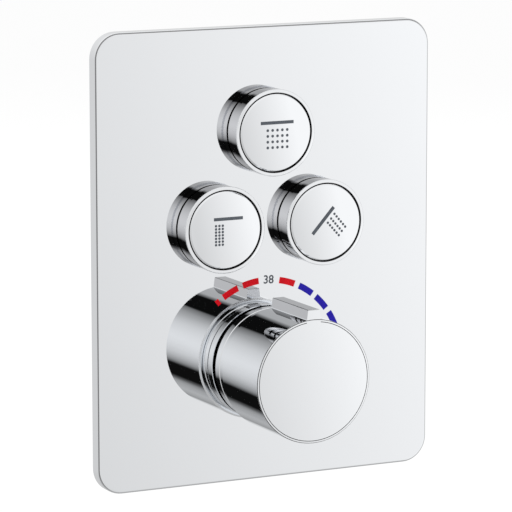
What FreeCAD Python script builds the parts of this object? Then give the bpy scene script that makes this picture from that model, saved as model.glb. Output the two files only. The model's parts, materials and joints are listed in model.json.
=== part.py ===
import FreeCAD, Part
import math
import os

from FreeCAD import Placement, Rotation, Vector

# Thermostatic shower valve for a wall recess: a flat face plate with three round
# push buttons and a thermostat knob in front, and the brass valve behind it.
# Millimetres. X to the right, +Y into the wall, +Z up. The origin is the centre of the
# face plate on the finished wall, so the plate and the controls lie at negative Y.

# ---- clearances -----------------------------------------------------------------
RUNNING_FIT = 0.05          # radial, a turned or sliding piece in its bore
SEATED_FIT = 0.05           # radial, a fixed piece in its bore
FREE_GAP = 0.3              # between pieces that move past each other
THREAD_SLACK = 0.02         # radial, a screw in its tapped hole
OVERCUT = 1.0               # how far a cutting shape runs past the metal
TOUCH = 1e-6                # two places this close are the same
JOIN = 0.5                  # how far two shapes of one piece run into each other

# ---- face plate -----------------------------------------------------------------
PLATE_WIDTH = 170.0
PLATE_HEIGHT = 211.0
PLATE_DEPTH = 6.0
PLATE_CORNER = 12.0
MIN_CORNER = 1.0
PLATE_EDGE_ROUND = 1.2
PLATE_SKIN = 2.0
PLATE_RIM = 3.5
PIN_RADIUS = 2.5
PIN_LENGTH = 6.0
PIN_INSET_X = 23.0
PIN_INSET_Z = 20.5
SEAL_WIDTH = 5.0

# ---- control centres, (x, z) ----------------------------------------------------
BUTTON_SPREAD = 25.6
BUTTON_ROW_Z = 14.4
TOP_BUTTON_Z = 57.4
KNOB_Z = -51.0
BUTTONS = {
    "top": (0.0, TOP_BUTTON_Z),
    "left": (-BUTTON_SPREAD, BUTTON_ROW_Z),
    "right": (BUTTON_SPREAD, BUTTON_ROW_Z),
}
KNOB = (0.0, KNOB_Z)

# ---- push button and flow ring ----------------------------------------------------
RING_RADIUS = 20.0
RING_STAND_OFF = 0.8
RING_REACH = 10.4
RING_RIM_ROUND = 0.4
RING_STEP = 0.5
RING_STEP_REACH = 5.2
RING_WEB = 1.5
CAP_RADIUS = 18.0
CAP_GAP = 0.45
CAP_REACH = 10.9
CAP_SKIN = 2.0
CAP_SKIRT = 3.9
CAP_WALL = 1.5
CAP_EDGE = 0.8
CAP_BOSS_RADIUS = 4.2
CAP_BOSS_LENGTH = 2.4
PUSH_TRAVEL = 3.0
GUIDE_FLANGE_RADIUS = 18.9
GUIDE_TUBE_RADIUS = 13.9
GUIDE_BACK_Y = 2.5
SLEEVE_RADIUS = 9.0
SLEEVE_BORE = 6.4
SLEEVE_SEAT_Y = -1.0
SLEEVE_SEAT_THICKNESS = 3.0
ROD_RADIUS = 3.0
ROD_SPIGOT_RADIUS = 2.4
PUSH_SPRING_RADIUS = 5.3
PUSH_SPRING_WIRE = 0.45
PUSH_SPRING_TURNS = 6

# ---- on and off cartridge behind each button --------------------------------------
MOUTH_Y = 9.0               # front of every chamber in the brass body
CARTRIDGE_RADIUS = 12.0
CARTRIDGE_FLANGE_RADIUS = 14.5
CARTRIDGE_FLANGE = 3.0
CARTRIDGE_LENGTH = 35.0
CARTRIDGE_END_WALL = 6.0
CARTRIDGE_WAIST = 10.6
CARTRIDGE_WAIST_END_Y = 36.0
CARTRIDGE_PORT_RADIUS = 4.5
WINDOW_WIDTH = 10.0
WINDOWS = 2                 # evenly spaced, an even number
WINDOW_START_Y = 20.5
WINDOW_END_Y = 27.5
SLEEVE_END_GAP = 6.5
PISTON_RADIUS = 6.1
PISTON_THICKNESS = 2.2
PISTON_BEVEL = 0.6
PISTON_ROOM = 0.6            # free space round the piston and behind its travel
PISTON_SPIGOT_RADIUS = 1.8
PISTON_SPIGOT_LENGTH = 1.6
NUT_ACROSS_FLATS = 34.0
NUT_WEB = 2.5
NUT_BORE = 11.0
NUT_GRIP = 5.5
CHAMBER_THREAD_RADIUS = 15.0
CHAMBER_THREAD_LENGTH = 6.0
SEAL_SECTION = 0.8
SEAL_INSET = 3.8

# ---- thermostat knob --------------------------------------------------------------
KNOB_RADIUS = 28.4
KNOB_REACH = 48.5
KNOB_WALL = 2.4
KNOB_FACE = 2.5
KNOB_EDGE = 0.3
KNOB_SEAM_RADIUS = 27.3
KNOB_SEAM = 0.3
KNOB_SEAM_DEPTH = 0.6
KNOB_BACK_REACH = 12.0
KNOB_BACK_BEVEL = 0.8
WING_FOOT_WIDTH = 7.0
WING_TOP_WIDTH = 5.7
WING_HEIGHT = 4.5
WING_EDGE = 0.4
COLLAR_STAND_OFF = 1.7
COLLAR_INSET = 1.6
COLLAR_WALL = 3.1
COLLAR_WEB = 2.0
COLLAR_NECK_RADIUS = 21.5
COLLAR_NECK_BORE = 19.5
COLLAR_NECK_BACK_Y = -2.0
COLLAR_GROOVE_REACH = 6.3
COLLAR_GROOVE = 0.4
COLLAR_EDGE = 0.3
COLLAR_SEAT_RADIUS = 25.4
HUB_RADIUS = 9.0
HUB_GAP = 1.3                # to the front of the cartridge's nose
INSERT_RIM_REACH = 38.0
INSERT_RIM_WIDTH = 8.0
INSERT_RIM_INNER = 20.0
INSERT_WEB = 2.0
GRUB_SCREW_RADIUS = 2.0
GRUB_SCREW_LENGTH = 7.0
GRUB_SOCKET_DEPTH = 2.5
KNOB_TURN = 66.0            # degrees each way from 38 at the top
STOP_LUG_HALF_ANGLE = 20.0
STOP_LUG_RADIUS = 13.7
STOP_LUG_LENGTH = 6.2
STOP_MARGIN = 2.0
STOP_RING_RADIUS = 18.0
STOP_RING_LENGTH = 10.0
STOP_RING_GRIP = 2.0
STOP_TOOTH_INNER = 10.5

# ---- thermostat cartridge -----------------------------------------------------------
THERMOSTAT_RADIUS = 20.0
THERMOSTAT_FLANGE_RADIUS = 22.4
THERMOSTAT_FLANGE = 4.0
THERMOSTAT_LENGTH = 41.0
THERMOSTAT_BORE = 15.0
THERMOSTAT_END_WALL = 3.0
THERMOSTAT_FRONT_WALL = 4.0
THERMOSTAT_WAIST = 17.5      # radius of the channels that lead water round to the windows
WAIST_EXTRA = 1.0
THERMOSTAT_END_PORT = 7.2
MIXER_PORT_SHIFT = 6.0       # hot enters this far in front of the pipe axis, cold behind it
MIXER_PORT = 3.5
MIXER_WINDOW_LENGTH = 6.0
MIXER_WINDOW_WIDTH = 8.0
MIXER_WINDOWS = 4
NOSE_RADIUS = 14.0
NOSE_BORE = 9.3
NOSE_FRONT_Y = -12.0
NOSE_BEARING = 3.0
SPINDLE_RADIUS = 4.5
SPINDLE_FLAT = 3.8
SPINDLE_FRONT_Y = -44.0
SPINDLE_FLAT_LENGTH = 28.0
SPINDLE_COLLAR_FRONT_Y = -4.0
SPINDLE_COLLAR_LENGTH = 8.0
SPINDLE_TAIL_RADIUS = 7.0
SPINDLE_TAIL_BACK_Y = 15.0
SHUTTLE_STEM_RADIUS = 4.0
SHUTTLE_STEM_FRONT_Y = 7.0
SHUTTLE_FRONT_Y = 24.0
SHUTTLE_LENGTH = 9.0
SHUTTLE_GROOVE = 2.0
SHUTTLE_GROOVE_DEPTH = 0.8
SHUTTLE_PORTS = 8            # holes that let the hot water through to the element
SHUTTLE_PORT_RADIUS = 1.5
SHUTTLE_PORT_CIRCLE = 12.0
SHUTTLE_TRAVEL = 1.2
ELEMENT_RADIUS = 6.0
ELEMENT_LENGTH = 14.5
ELEMENT_TIP_RADIUS = 3.0
ELEMENT_TIP_LENGTH = 3.0
ELEMENT_BEVEL = 1.0
RETURN_SPRING_RADIUS = 9.5
RETURN_SPRING_WIRE = 0.8
RETURN_SPRING_TURNS = 4
THERMOSTAT_NUT_FLATS = 50.0
THERMOSTAT_NUT_WEB = 4.0
THERMOSTAT_NUT_BORE = 15.5
THERMOSTAT_NUT_GRIP = 5.5
THERMOSTAT_THREAD_RADIUS = 22.5
THERMOSTAT_THREAD_LENGTH = 6.0

# ---- brass body ---------------------------------------------------------------------
CHAMBER_RADIUS = 16.0
CHAMBER_BACK_Y = 52.0
CAST_BEVEL = 1.5
THREAD_RUNOUT = 1.0
MIXER_RADIUS = 25.0
MIXER_BACK_Y = 60.0
DUCT_Y = 58.0
DUCT_RADIUS = 11.0
DUCT_BORE = 7.0
DUCT_OVERRUN = 16.5
PORT_Y = 29.0               # axis of the inlets and outlets behind the wall
STUB_RADIUS = 13.8
STUB_NECK_RADIUS = 12.5
STUB_NECK_LENGTH = 1.0
STUB_HEX = 27.0
STUB_HEX_LENGTH = 7.0
THREAD_BORE = 9.3           # minor radius of a half inch pipe thread
THREAD_LENGTH = 14.0
STUB_BORE = 8.0
CHAMBER_PORT = 5.0
OUTLET_BORE = 7.0
INLET_REACH = 58.0
SIDE_OUTLET_REACH = 60.0
TOP_OUTLET_REACH = 89.0
POST_RADIUS = 5.5
POST_X = 24.0
POST_HIGH_Z = TOP_BUTTON_Z
POST_LOW_Z = -26.0
POST_BACK_Y = 38.0
RIB_HALF_HEIGHT = 4.0
RIB_FRONT_Y = 16.0
LUG_RADIUS = 6.0
LUG_X = 16.0
LUG_ROWS = (-18.0, 36.0)
LUG_FRONT_Y = 60.0
PLUG_SHANK = 6.0
PLUG_HEAD = 3.5
PLUG_ACROSS_FLATS = 19.0
PLUG_SOCKET = 8.0
PLUG_SOCKET_DEPTH = 2.5

# ---- non-return valves in the inlets ----------------------------------------------
CHECK_WALL = 1.8
CHECK_LENGTH = 15.0
CHECK_SEAT = 2.0
CHECK_SEAT_BORE = 4.0
CHECK_ARMS = 3
CHECK_SPIDER = 2.0
CHECK_HUB_RADIUS = 2.6
POPPET_RADIUS = 5.0
POPPET_HEAD = 2.0
POPPET_STEM = 1.5
POPPET_NOSE = 1.6
POPPET_NOSE_RADIUS = 1.0
POPPET_TRAVEL = 2.5
POPPET_SPRING_RADIUS = 3.4
POPPET_SPRING_WIRE = 0.35
POPPET_SPRING_TURNS = 5
FILTER_THICKNESS = 1.2
FILTER_SLOT = 1.0
FILTER_SLOTS = 5
FILTER_PITCH = 2.4
FILTER_LIP = 1.5

# ---- plastic carrier frame and fixings ----------------------------------------------
FRAME_THICKNESS = 3.0
FRAME_CLEARANCE = 0.5       # to the plate skin in front and to the wall behind
FRAME_SIDE_GAP = 1.5
FRAME_CORNER = 8.0
HUB_WALL = 2.0
HUB_HEIGHT = 2.0
SCREW_RADIUS = 2.0
SCREW_HEAD_RADIUS = 3.8
SCREW_HEAD = 2.2
SCREW_SOCKET = 3.0
SCREW_SOCKET_DEPTH = 1.4
SCREW_BITE = 12.0
TAP_OVERRUN = 2.0
SCREW_HOLE_EXTRA = 0.2
CLIP_RADIUS = 5.0
CLIP_THICKNESS = 0.8

# ---- steel wall bracket ---------------------------------------------------------------
BRACKET_Y = 71.0
BRACKET_THICKNESS = 2.5
BRACKET_WIDTH = 88.0
BRACKET_HEIGHT = 168.0
BRACKET_CORNER = 6.0
BRACKET_HOLE_RADIUS = 3.25
BRACKET_HOLE_X = 36.0
BRACKET_HOLE_Z = 76.0
BRACKET_WINDOW_WIDTH = 44.0
BRACKET_WINDOW_HEIGHT = 24.0
BRACKET_WINDOW_Z = (-52.0, 62.0)
BRACKET_SCREW_BITE = 8.0
BRACKET_SCREW_HEAD_RADIUS = 4.2
BRACKET_SCREW_HEAD = 2.0

# ---- planes and sizes worked out from the values above --------------------------------
FRONT_Y = -PLATE_DEPTH
SKIN_BACK_Y = FRONT_Y + PLATE_SKIN
FRAME_BACK_Y = SKIN_BACK_Y + FRAME_CLEARANCE + FRAME_THICKNESS
FRAME_FRONT_Y = SKIN_BACK_Y + FRAME_CLEARANCE
RING_BORE = CAP_RADIUS + CAP_GAP
RING_BACK_Y = FRONT_Y - RING_STAND_OFF
RING_FRONT_Y = FRONT_Y - RING_REACH
RING_STEP_Y = FRONT_Y - RING_STEP_REACH
CAP_FRONT_Y = FRONT_Y - CAP_REACH
CAP_SKIN_BACK_Y = CAP_FRONT_Y + CAP_SKIN
SLEEVE_FRONT_Y = RING_BACK_Y - RING_WEB
CARTRIDGE_FRONT_Y = MOUTH_Y - CARTRIDGE_FLANGE
CARTRIDGE_BACK_Y = MOUTH_Y + CARTRIDGE_LENGTH
CARTRIDGE_BORE = SLEEVE_RADIUS + RUNNING_FIT
CARTRIDGE_SEAT_Y = CARTRIDGE_BACK_Y - CARTRIDGE_END_WALL
SLEEVE_BACK_Y = CARTRIDGE_SEAT_Y - SLEEVE_END_GAP
PISTON_FRONT_Y = CARTRIDGE_BACK_Y + FREE_GAP
PISTON_BACK_Y = PISTON_FRONT_Y + PISTON_THICKNESS
COLLAR_RADIUS = KNOB_RADIUS - COLLAR_INSET
COLLAR_FRONT_Y = FRONT_Y - KNOB_BACK_REACH + FREE_GAP
COLLAR_BACK_Y = FRONT_Y - COLLAR_STAND_OFF
KNOB_FRONT_Y = FRONT_Y - KNOB_REACH
KNOB_BACK_Y = FRONT_Y - KNOB_BACK_REACH
KNOB_BORE = KNOB_RADIUS - KNOB_WALL
INSERT_RIM_Y = FRONT_Y - INSERT_RIM_REACH
STOP_RING_BACK_Y = NOSE_FRONT_Y + STOP_RING_GRIP
STOP_RING_FRONT_Y = STOP_RING_BACK_Y - STOP_RING_LENGTH
HUB_BACK_Y = NOSE_FRONT_Y - HUB_GAP
THERMOSTAT_BACK_Y = MOUTH_Y + THERMOSTAT_LENGTH
THERMOSTAT_FLANGE_Y = MOUTH_Y - THERMOSTAT_FLANGE
MIXER_BORE = THERMOSTAT_RADIUS + SEATED_FIT
CHAMBER_BORE = CARTRIDGE_RADIUS + SEATED_FIT
BRACKET_BACK_Y = BRACKET_Y + BRACKET_THICKNESS

INTO_WALL = Vector(0, 1, 0)
LEFT = Vector(-1, 0, 0)
RIGHT = Vector(1, 0, 0)
UP = Vector(0, 0, 1)
DOWN = Vector(0, 0, -1)


# ---- shape helpers ----------------------------------------------------------------

def on_axis(centre):
    """Point of a control's axis, on the wall plane."""
    return Vector(centre[0], 0, centre[1])


def turned(profile, base, direction=INTO_WALL):
    """Turned solid: (radius, distance along the axis) points round an axis from base."""
    points = [Vector(radius, 0, along) for radius, along in profile]
    face = Part.Face(Part.makePolygon(points + points[:1]))
    solid = face.revolve(Vector(), Vector(0, 0, 1), 360)
    if solid.Volume < 0:
        solid.reverse()
    solid.Placement = Placement(base, Rotation(Vector(0, 0, 1), direction))
    return solid


def rod(radius, start, end, base, direction=INTO_WALL):
    """Plain round bar between two distances along an axis."""
    return Part.makeCylinder(radius, end - start, base + direction * start, direction)


def tube(outer, inner, start, end, base, direction=INTO_WALL):
    """Plain round tube between two distances along an axis."""
    return turned([(inner, start), (outer, start), (outer, end), (inner, end)], base, direction)


def prism(points, start, end, base, direction=INTO_WALL):
    """Straight prism of a flat outline, carried along an axis."""
    corners = [Vector(a, b, start) for a, b in points]
    face = Part.Face(Part.makePolygon(corners + corners[:1]))
    solid = face.extrude(Vector(0, 0, end - start))
    solid.Placement = Placement(base, Rotation(Vector(0, 0, 1), direction))
    return solid


def hexagon(across_flats, start, end, base, direction=INTO_WALL):
    """Six-sided prism with two corners up and down."""
    corner = across_flats / math.sqrt(3.0)
    points = []
    for index in range(6):
        angle = math.radians(60 * index + 90)
        points.append((corner * math.cos(angle), corner * math.sin(angle)))
    return prism(points, start, end, base, direction)


def block(x_size, z_size, start, end, centre):
    """Box centred on an (x, z) point, between two Y planes."""
    corner = Vector(centre[0] - x_size / 2, start, centre[1] - z_size / 2)
    return Part.makeBox(x_size, end - start, z_size, corner)


def rounded_block(width, height, corner, start, end):
    """Box round the origin with its four edges along Y rounded."""
    solid = block(width, height, start, end, (0.0, 0.0))
    edges = [edge for edge in solid.Edges if abs(edge.tangentAt(edge.FirstParameter).y) > 1 - TOUCH]
    return solid.makeFillet(corner, edges)


def edges_on_plane(solid, y):
    """Edges that lie in one plane across Y."""
    found = []
    for edge in solid.Edges:
        if edge.BoundBox.YLength < TOUCH and abs(edge.BoundBox.YMin - y) < TOUCH:
            found.append(edge)
    return found


def sector(half_angle, reach, start, end, centre):
    """Pie slice about straight up, as a prism with a many-sided outer edge."""
    steps = 8
    points = [(centre[0], centre[1])]
    for index in range(steps + 1):
        angle = math.radians(half_angle * (2.0 * index / steps - 1.0))
        points.append((centre[0] + reach * math.sin(angle), centre[1] + reach * math.cos(angle)))
    corners = [Vector(x, start, z) for x, z in points]
    face = Part.Face(Part.makePolygon(corners + corners[:1]))
    return face.extrude(Vector(0, end - start, 0))


def windows(start, end, width, reach, base, count):
    """Radial slots through a tube wall, evenly spaced round an axis along Y."""
    slots = []
    for index in range(count // 2):
        slot = Part.makeBox(2 * reach, end - start, width, Vector(-reach, start, -width / 2))
        slot.rotate(Vector(), INTO_WALL, 360.0 * index / count + 45.0)
        slot.translate(base)
        slots.append(slot)
    return slots


def o_ring(radius, section, along, base):
    """Round-section sealing ring whose outside touches the given radius."""
    return Part.makeTorus(radius - section, section, base + INTO_WALL * along, INTO_WALL)


def groove(radius, section, along, base):
    """Square groove that an o-ring lies in, as a ring to cut away."""
    half = section + THREAD_SLACK
    return tube(radius + OVERCUT, radius - 2 * section, along - half, along + half, base)


def biarc(start, start_tangent, end, end_tangent):
    """Two arcs that leave start and reach end along the given tangents."""
    chord = end - start
    tangents = start_tangent + end_tangent
    scale = 2.0 * (1.0 - start_tangent.dot(end_tangent))
    half = chord.dot(tangents)
    reach = (math.sqrt(half * half + scale * chord.dot(chord)) - half) / scale
    middle = (start + end + (start_tangent - end_tangent) * reach) * 0.5
    return [arc_from(start, start_tangent, middle), arc_from(end, end_tangent * -1.0, middle)]


def arc_from(start, tangent, end):
    """Arc that leaves start along tangent and ends at end."""
    chord = end - start
    length = chord.Length
    along = Vector(chord).normalize()
    bulge = tangent - along * tangent.dot(along)
    rise = 0.5 * length * math.tan(0.5 * math.acos(min(1.0, tangent.dot(along))))
    middle = start + chord * 0.5 + bulge.normalize() * rise
    return Part.Arc(start, middle, end).toShape()


def coil_spring(radius, wire, turns, start, end, base, direction=INTO_WALL):
    """Compression spring: one wire on a helix of arcs, lying between two seats."""
    first = start + wire
    climb = (end - start - 2 * wire) / (4.0 * turns)
    slope = climb / (0.5 * math.pi * radius)
    points = []
    tangents = []
    for index in range(4 * turns + 1):
        angle = 0.5 * math.pi * index
        points.append(Vector(radius * math.cos(angle), radius * math.sin(angle), first + climb * index))
        tangents.append(Vector(-math.sin(angle), math.cos(angle), slope).normalize())
    edges = []
    for index in range(4 * turns):
        edges += biarc(points[index], tangents[index], points[index + 1], tangents[index + 1])
    path = Part.Wire(Part.__sortEdges__(edges))
    section = Part.Wire(Part.makeCircle(wire, points[0], tangents[0]))
    spring = path.makePipeShell([section], True, False)
    spring.Placement = Placement(base, Rotation(Vector(0, 0, 1), direction))
    return spring


def fused(first, others):
    """One solid from several that touch."""
    return first.fuse(others).removeSplitter()


PIECES = {}


def keep(name, *solids):
    """Store a piece under its node name."""
    PIECES[name] = solids[0] if len(solids) == 1 else Part.makeCompound(list(solids))


# ---- face plate, seal, frame -------------------------------------------------------

def corner_points(x, z):
    """The four points of a rectangle round the origin."""
    return [(-x, -z), (x, -z), (-x, z), (x, z)]


def pin_points():
    """Places of the plate's locating pins."""
    return corner_points(PLATE_WIDTH / 2 - PIN_INSET_X, PLATE_HEIGHT / 2 - PIN_INSET_Z)


def post_points():
    """Places of the screws that hold the carrier frame to the brass body."""
    return [(side * POST_X, z) for z in (POST_LOW_Z, POST_HIGH_Z) for side in (-1, 1)]


def pocket(inset, start, end):
    """Inside of the plate, drawn in from its outline."""
    corner = max(PLATE_CORNER - inset, MIN_CORNER)
    return rounded_block(PLATE_WIDTH - 2 * inset, PLATE_HEIGHT - 2 * inset, corner, start, end)


def make_face_plate():
    plate = rounded_block(PLATE_WIDTH, PLATE_HEIGHT, PLATE_CORNER, FRONT_Y, 0.0)
    plate = plate.makeFillet(PLATE_EDGE_ROUND, edges_on_plane(plate, FRONT_Y))
    plate = plate.cut(pocket(PLATE_RIM, SKIN_BACK_Y, OVERCUT))
    holes = [rod(GUIDE_TUBE_RADIUS + SCREW_HOLE_EXTRA, FRONT_Y - OVERCUT, OVERCUT, on_axis(at))
             for at in BUTTONS.values()]
    holes.append(rod(COLLAR_NECK_RADIUS + SCREW_HOLE_EXTRA, FRONT_Y - OVERCUT, OVERCUT, on_axis(KNOB)))
    pins = [rod(PIN_RADIUS, SKIN_BACK_Y - JOIN, SKIN_BACK_Y + PIN_LENGTH, on_axis(at)) for at in pin_points()]
    keep("face_plate", fused(plate.cut(holes), pins))


def make_plate_seal():
    outer = pocket(PLATE_RIM, SKIN_BACK_Y, 0.0)
    keep("plate_seal", outer.cut(pocket(PLATE_RIM + SEAL_WIDTH, SKIN_BACK_Y - OVERCUT, OVERCUT)))


def make_carrier_frame():
    inset = PLATE_RIM + SEAL_WIDTH + FRAME_SIDE_GAP
    panel = rounded_block(PLATE_WIDTH - 2 * inset, PLATE_HEIGHT - 2 * inset, FRAME_CORNER,
                          FRAME_FRONT_Y, FRAME_BACK_Y)
    posts = [rod(POST_RADIUS, FRAME_FRONT_Y + JOIN, MOUTH_Y, on_axis(at)) for at in post_points()]
    hubs = [rod(GUIDE_TUBE_RADIUS + HUB_WALL, FRAME_FRONT_Y + JOIN, FRAME_BACK_Y + HUB_HEIGHT, on_axis(at))
            for at in BUTTONS.values()]
    holes = [rod(GUIDE_TUBE_RADIUS, FRAME_FRONT_Y - OVERCUT, MOUTH_Y, on_axis(at)) for at in BUTTONS.values()]
    holes.append(rod(COLLAR_NECK_RADIUS, FRAME_FRONT_Y - OVERCUT, MOUTH_Y, on_axis(KNOB)))
    for at in post_points():
        shank_bore = SCREW_RADIUS + SCREW_HOLE_EXTRA
        head_bore = SCREW_HEAD_RADIUS + SCREW_HOLE_EXTRA
        holes.append(rod(shank_bore, FRAME_FRONT_Y - OVERCUT, MOUTH_Y + OVERCUT, on_axis(at)))
        holes.append(rod(head_bore, FRAME_FRONT_Y - OVERCUT, FRAME_FRONT_Y + SCREW_HEAD, on_axis(at)))
    for at in pin_points():
        pin_bore = PIN_RADIUS + SEATED_FIT
        holes.append(rod(pin_bore, FRAME_FRONT_Y - OVERCUT, FRAME_BACK_Y + OVERCUT, on_axis(at)))
    keep("carrier_frame", fused(panel, posts + hubs).cut(holes))


def make_plate_clips():
    clips = [tube(CLIP_RADIUS, PIN_RADIUS, FRAME_BACK_Y, FRAME_BACK_Y + CLIP_THICKNESS, on_axis(at))
             for at in pin_points()]
    keep("plate_clips", *clips)


def socket_screw(radius, head_radius, head_start, head, tip, base, direction):
    """Cap screw: head first, shank to the tip, with a six-sided socket in the head."""
    body = fused(rod(head_radius, head_start, head_start + head, base, direction),
                 [rod(radius, head_start + head / 2, tip, base, direction)])
    socket = hexagon(SCREW_SOCKET, head_start - OVERCUT, head_start + SCREW_SOCKET_DEPTH, base, direction)
    return body.cut(socket)


def make_frame_screws():
    screws = [socket_screw(SCREW_RADIUS, SCREW_HEAD_RADIUS, FRAME_FRONT_Y, SCREW_HEAD,
                           MOUTH_Y + SCREW_BITE, on_axis(at), INTO_WALL) for at in post_points()]
    keep("frame_screws", *screws)


# ---- one push button ----------------------------------------------------------------

def make_button(side, centre):
    base = on_axis(centre)
    cap = turned([
        (0.0, CAP_FRONT_Y), (CAP_RADIUS - CAP_EDGE, CAP_FRONT_Y), (CAP_RADIUS, CAP_FRONT_Y + CAP_EDGE),
        (CAP_RADIUS, CAP_FRONT_Y + CAP_SKIRT), (CAP_RADIUS - CAP_WALL, CAP_FRONT_Y + CAP_SKIRT),
        (CAP_RADIUS - CAP_WALL, CAP_SKIN_BACK_Y), (CAP_BOSS_RADIUS, CAP_SKIN_BACK_Y),
        (CAP_BOSS_RADIUS, CAP_SKIN_BACK_Y + CAP_BOSS_LENGTH),
        (ROD_SPIGOT_RADIUS, CAP_SKIN_BACK_Y + CAP_BOSS_LENGTH), (ROD_SPIGOT_RADIUS, CAP_SKIN_BACK_Y),
        (0.0, CAP_SKIN_BACK_Y)], base)
    keep("button_cap_" + side, cap)

    rim = turned([
        (RING_BORE, RING_FRONT_Y), (RING_RADIUS, RING_FRONT_Y), (RING_RADIUS, RING_STEP_Y),
        (RING_RADIUS - RING_STEP, RING_STEP_Y), (RING_RADIUS - RING_STEP, RING_BACK_Y),
        (RING_BORE, RING_BACK_Y)], base)
    outer_front = [e for e in edges_on_plane(rim, RING_FRONT_Y) if e.Curve.Radius > RING_BORE + JOIN]
    rim = rim.makeFillet(RING_RIM_ROUND, outer_front)
    web = tube(RING_BORE + JOIN, SLEEVE_RADIUS, SLEEVE_FRONT_Y, RING_BACK_Y, base)
    keep("flow_ring_" + side, fused(rim, [web]))

    keep("button_guide_" + side, turned([
        (CARTRIDGE_BORE, RING_BACK_Y + FREE_GAP), (GUIDE_FLANGE_RADIUS, RING_BACK_Y + FREE_GAP),
        (GUIDE_FLANGE_RADIUS, FRONT_Y), (GUIDE_TUBE_RADIUS, FRONT_Y), (GUIDE_TUBE_RADIUS, GUIDE_BACK_Y),
        (CARTRIDGE_BORE, GUIDE_BACK_Y)], base))

    rod_guide = ROD_RADIUS + RUNNING_FIT
    sleeve = turned([
        (SLEEVE_BORE, SLEEVE_FRONT_Y), (SLEEVE_RADIUS, SLEEVE_FRONT_Y), (SLEEVE_RADIUS, SLEEVE_BACK_Y),
        (SLEEVE_BORE, SLEEVE_BACK_Y), (SLEEVE_BORE, SLEEVE_SEAT_Y + SLEEVE_SEAT_THICKNESS),
        (rod_guide, SLEEVE_SEAT_Y + SLEEVE_SEAT_THICKNESS), (rod_guide, SLEEVE_SEAT_Y),
        (SLEEVE_BORE, SLEEVE_SEAT_Y)], base)
    outside = CARTRIDGE_RADIUS + OVERCUT
    openings = windows(WINDOW_START_Y, WINDOW_END_Y, WINDOW_WIDTH, outside, base, WINDOWS)
    keep("flow_sleeve_" + side, sleeve.cut(openings))

    keep("push_rod_" + side, turned([
        (0.0, CAP_SKIN_BACK_Y), (ROD_SPIGOT_RADIUS, CAP_SKIN_BACK_Y),
        (ROD_SPIGOT_RADIUS, CAP_SKIN_BACK_Y + CAP_BOSS_LENGTH),
        (ROD_RADIUS, CAP_SKIN_BACK_Y + CAP_BOSS_LENGTH), (ROD_RADIUS, PISTON_FRONT_Y),
        (PISTON_SPIGOT_RADIUS, PISTON_FRONT_Y), (PISTON_SPIGOT_RADIUS, PISTON_FRONT_Y + PISTON_SPIGOT_LENGTH),
        (0.0, PISTON_FRONT_Y + PISTON_SPIGOT_LENGTH)], base))
    keep("valve_piston_" + side, turned([
        (PISTON_SPIGOT_RADIUS, PISTON_FRONT_Y), (PISTON_RADIUS, PISTON_FRONT_Y),
        (PISTON_RADIUS, PISTON_BACK_Y - PISTON_BEVEL), (PISTON_RADIUS - PISTON_BEVEL, PISTON_BACK_Y),
        (0.0, PISTON_BACK_Y), (0.0, PISTON_FRONT_Y + PISTON_SPIGOT_LENGTH),
        (PISTON_SPIGOT_RADIUS, PISTON_FRONT_Y + PISTON_SPIGOT_LENGTH)], base))
    keep("push_spring_" + side, coil_spring(PUSH_SPRING_RADIUS, PUSH_SPRING_WIRE, PUSH_SPRING_TURNS,
                                            CAP_SKIN_BACK_Y, SLEEVE_SEAT_Y, base))

    cartridge = turned([
        (CARTRIDGE_BORE, CARTRIDGE_FRONT_Y), (CARTRIDGE_FLANGE_RADIUS, CARTRIDGE_FRONT_Y),
        (CARTRIDGE_FLANGE_RADIUS, MOUTH_Y), (CARTRIDGE_RADIUS, MOUTH_Y),
        (CARTRIDGE_RADIUS, WINDOW_START_Y - WAIST_EXTRA), (CARTRIDGE_WAIST, WINDOW_START_Y - WAIST_EXTRA),
        (CARTRIDGE_WAIST, CARTRIDGE_WAIST_END_Y), (CARTRIDGE_RADIUS, CARTRIDGE_WAIST_END_Y),
        (CARTRIDGE_RADIUS, CARTRIDGE_BACK_Y),
        (CARTRIDGE_PORT_RADIUS, CARTRIDGE_BACK_Y), (CARTRIDGE_PORT_RADIUS, CARTRIDGE_SEAT_Y),
        (CARTRIDGE_BORE, CARTRIDGE_SEAT_Y)], base)
    seal_places = (MOUTH_Y + SEAL_INSET, CARTRIDGE_BACK_Y - SEAL_INSET)
    grooves = [groove(CARTRIDGE_RADIUS, SEAL_SECTION, along, base) for along in seal_places]
    keep("valve_cartridge_" + side, cartridge.cut(grooves + openings))

    nut_front = CARTRIDGE_FRONT_Y - NUT_WEB
    nut = hexagon(NUT_ACROSS_FLATS, nut_front, MOUTH_Y + NUT_GRIP, base)
    bore = rod(NUT_BORE, nut_front - OVERCUT, MOUTH_Y, base)
    thread = rod(CHAMBER_THREAD_RADIUS + SEATED_FIT, CARTRIDGE_FRONT_Y, MOUTH_Y + NUT_GRIP + OVERCUT, base)
    keep("cartridge_nut_" + side, nut.cut([bore, thread]))
    return [o_ring(CARTRIDGE_RADIUS, SEAL_SECTION, along, base) for along in seal_places]


# ---- thermostat knob ------------------------------------------------------------------

def flatted_rod(radius, flat, start, end, base):
    """Round bar with two flats, on an axis along Y."""
    solid = rod(radius, start, end, base)
    return solid.common(block(2 * flat, 2 * radius + 2, start - OVERCUT, end + OVERCUT, (base.x, base.z)))


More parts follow.
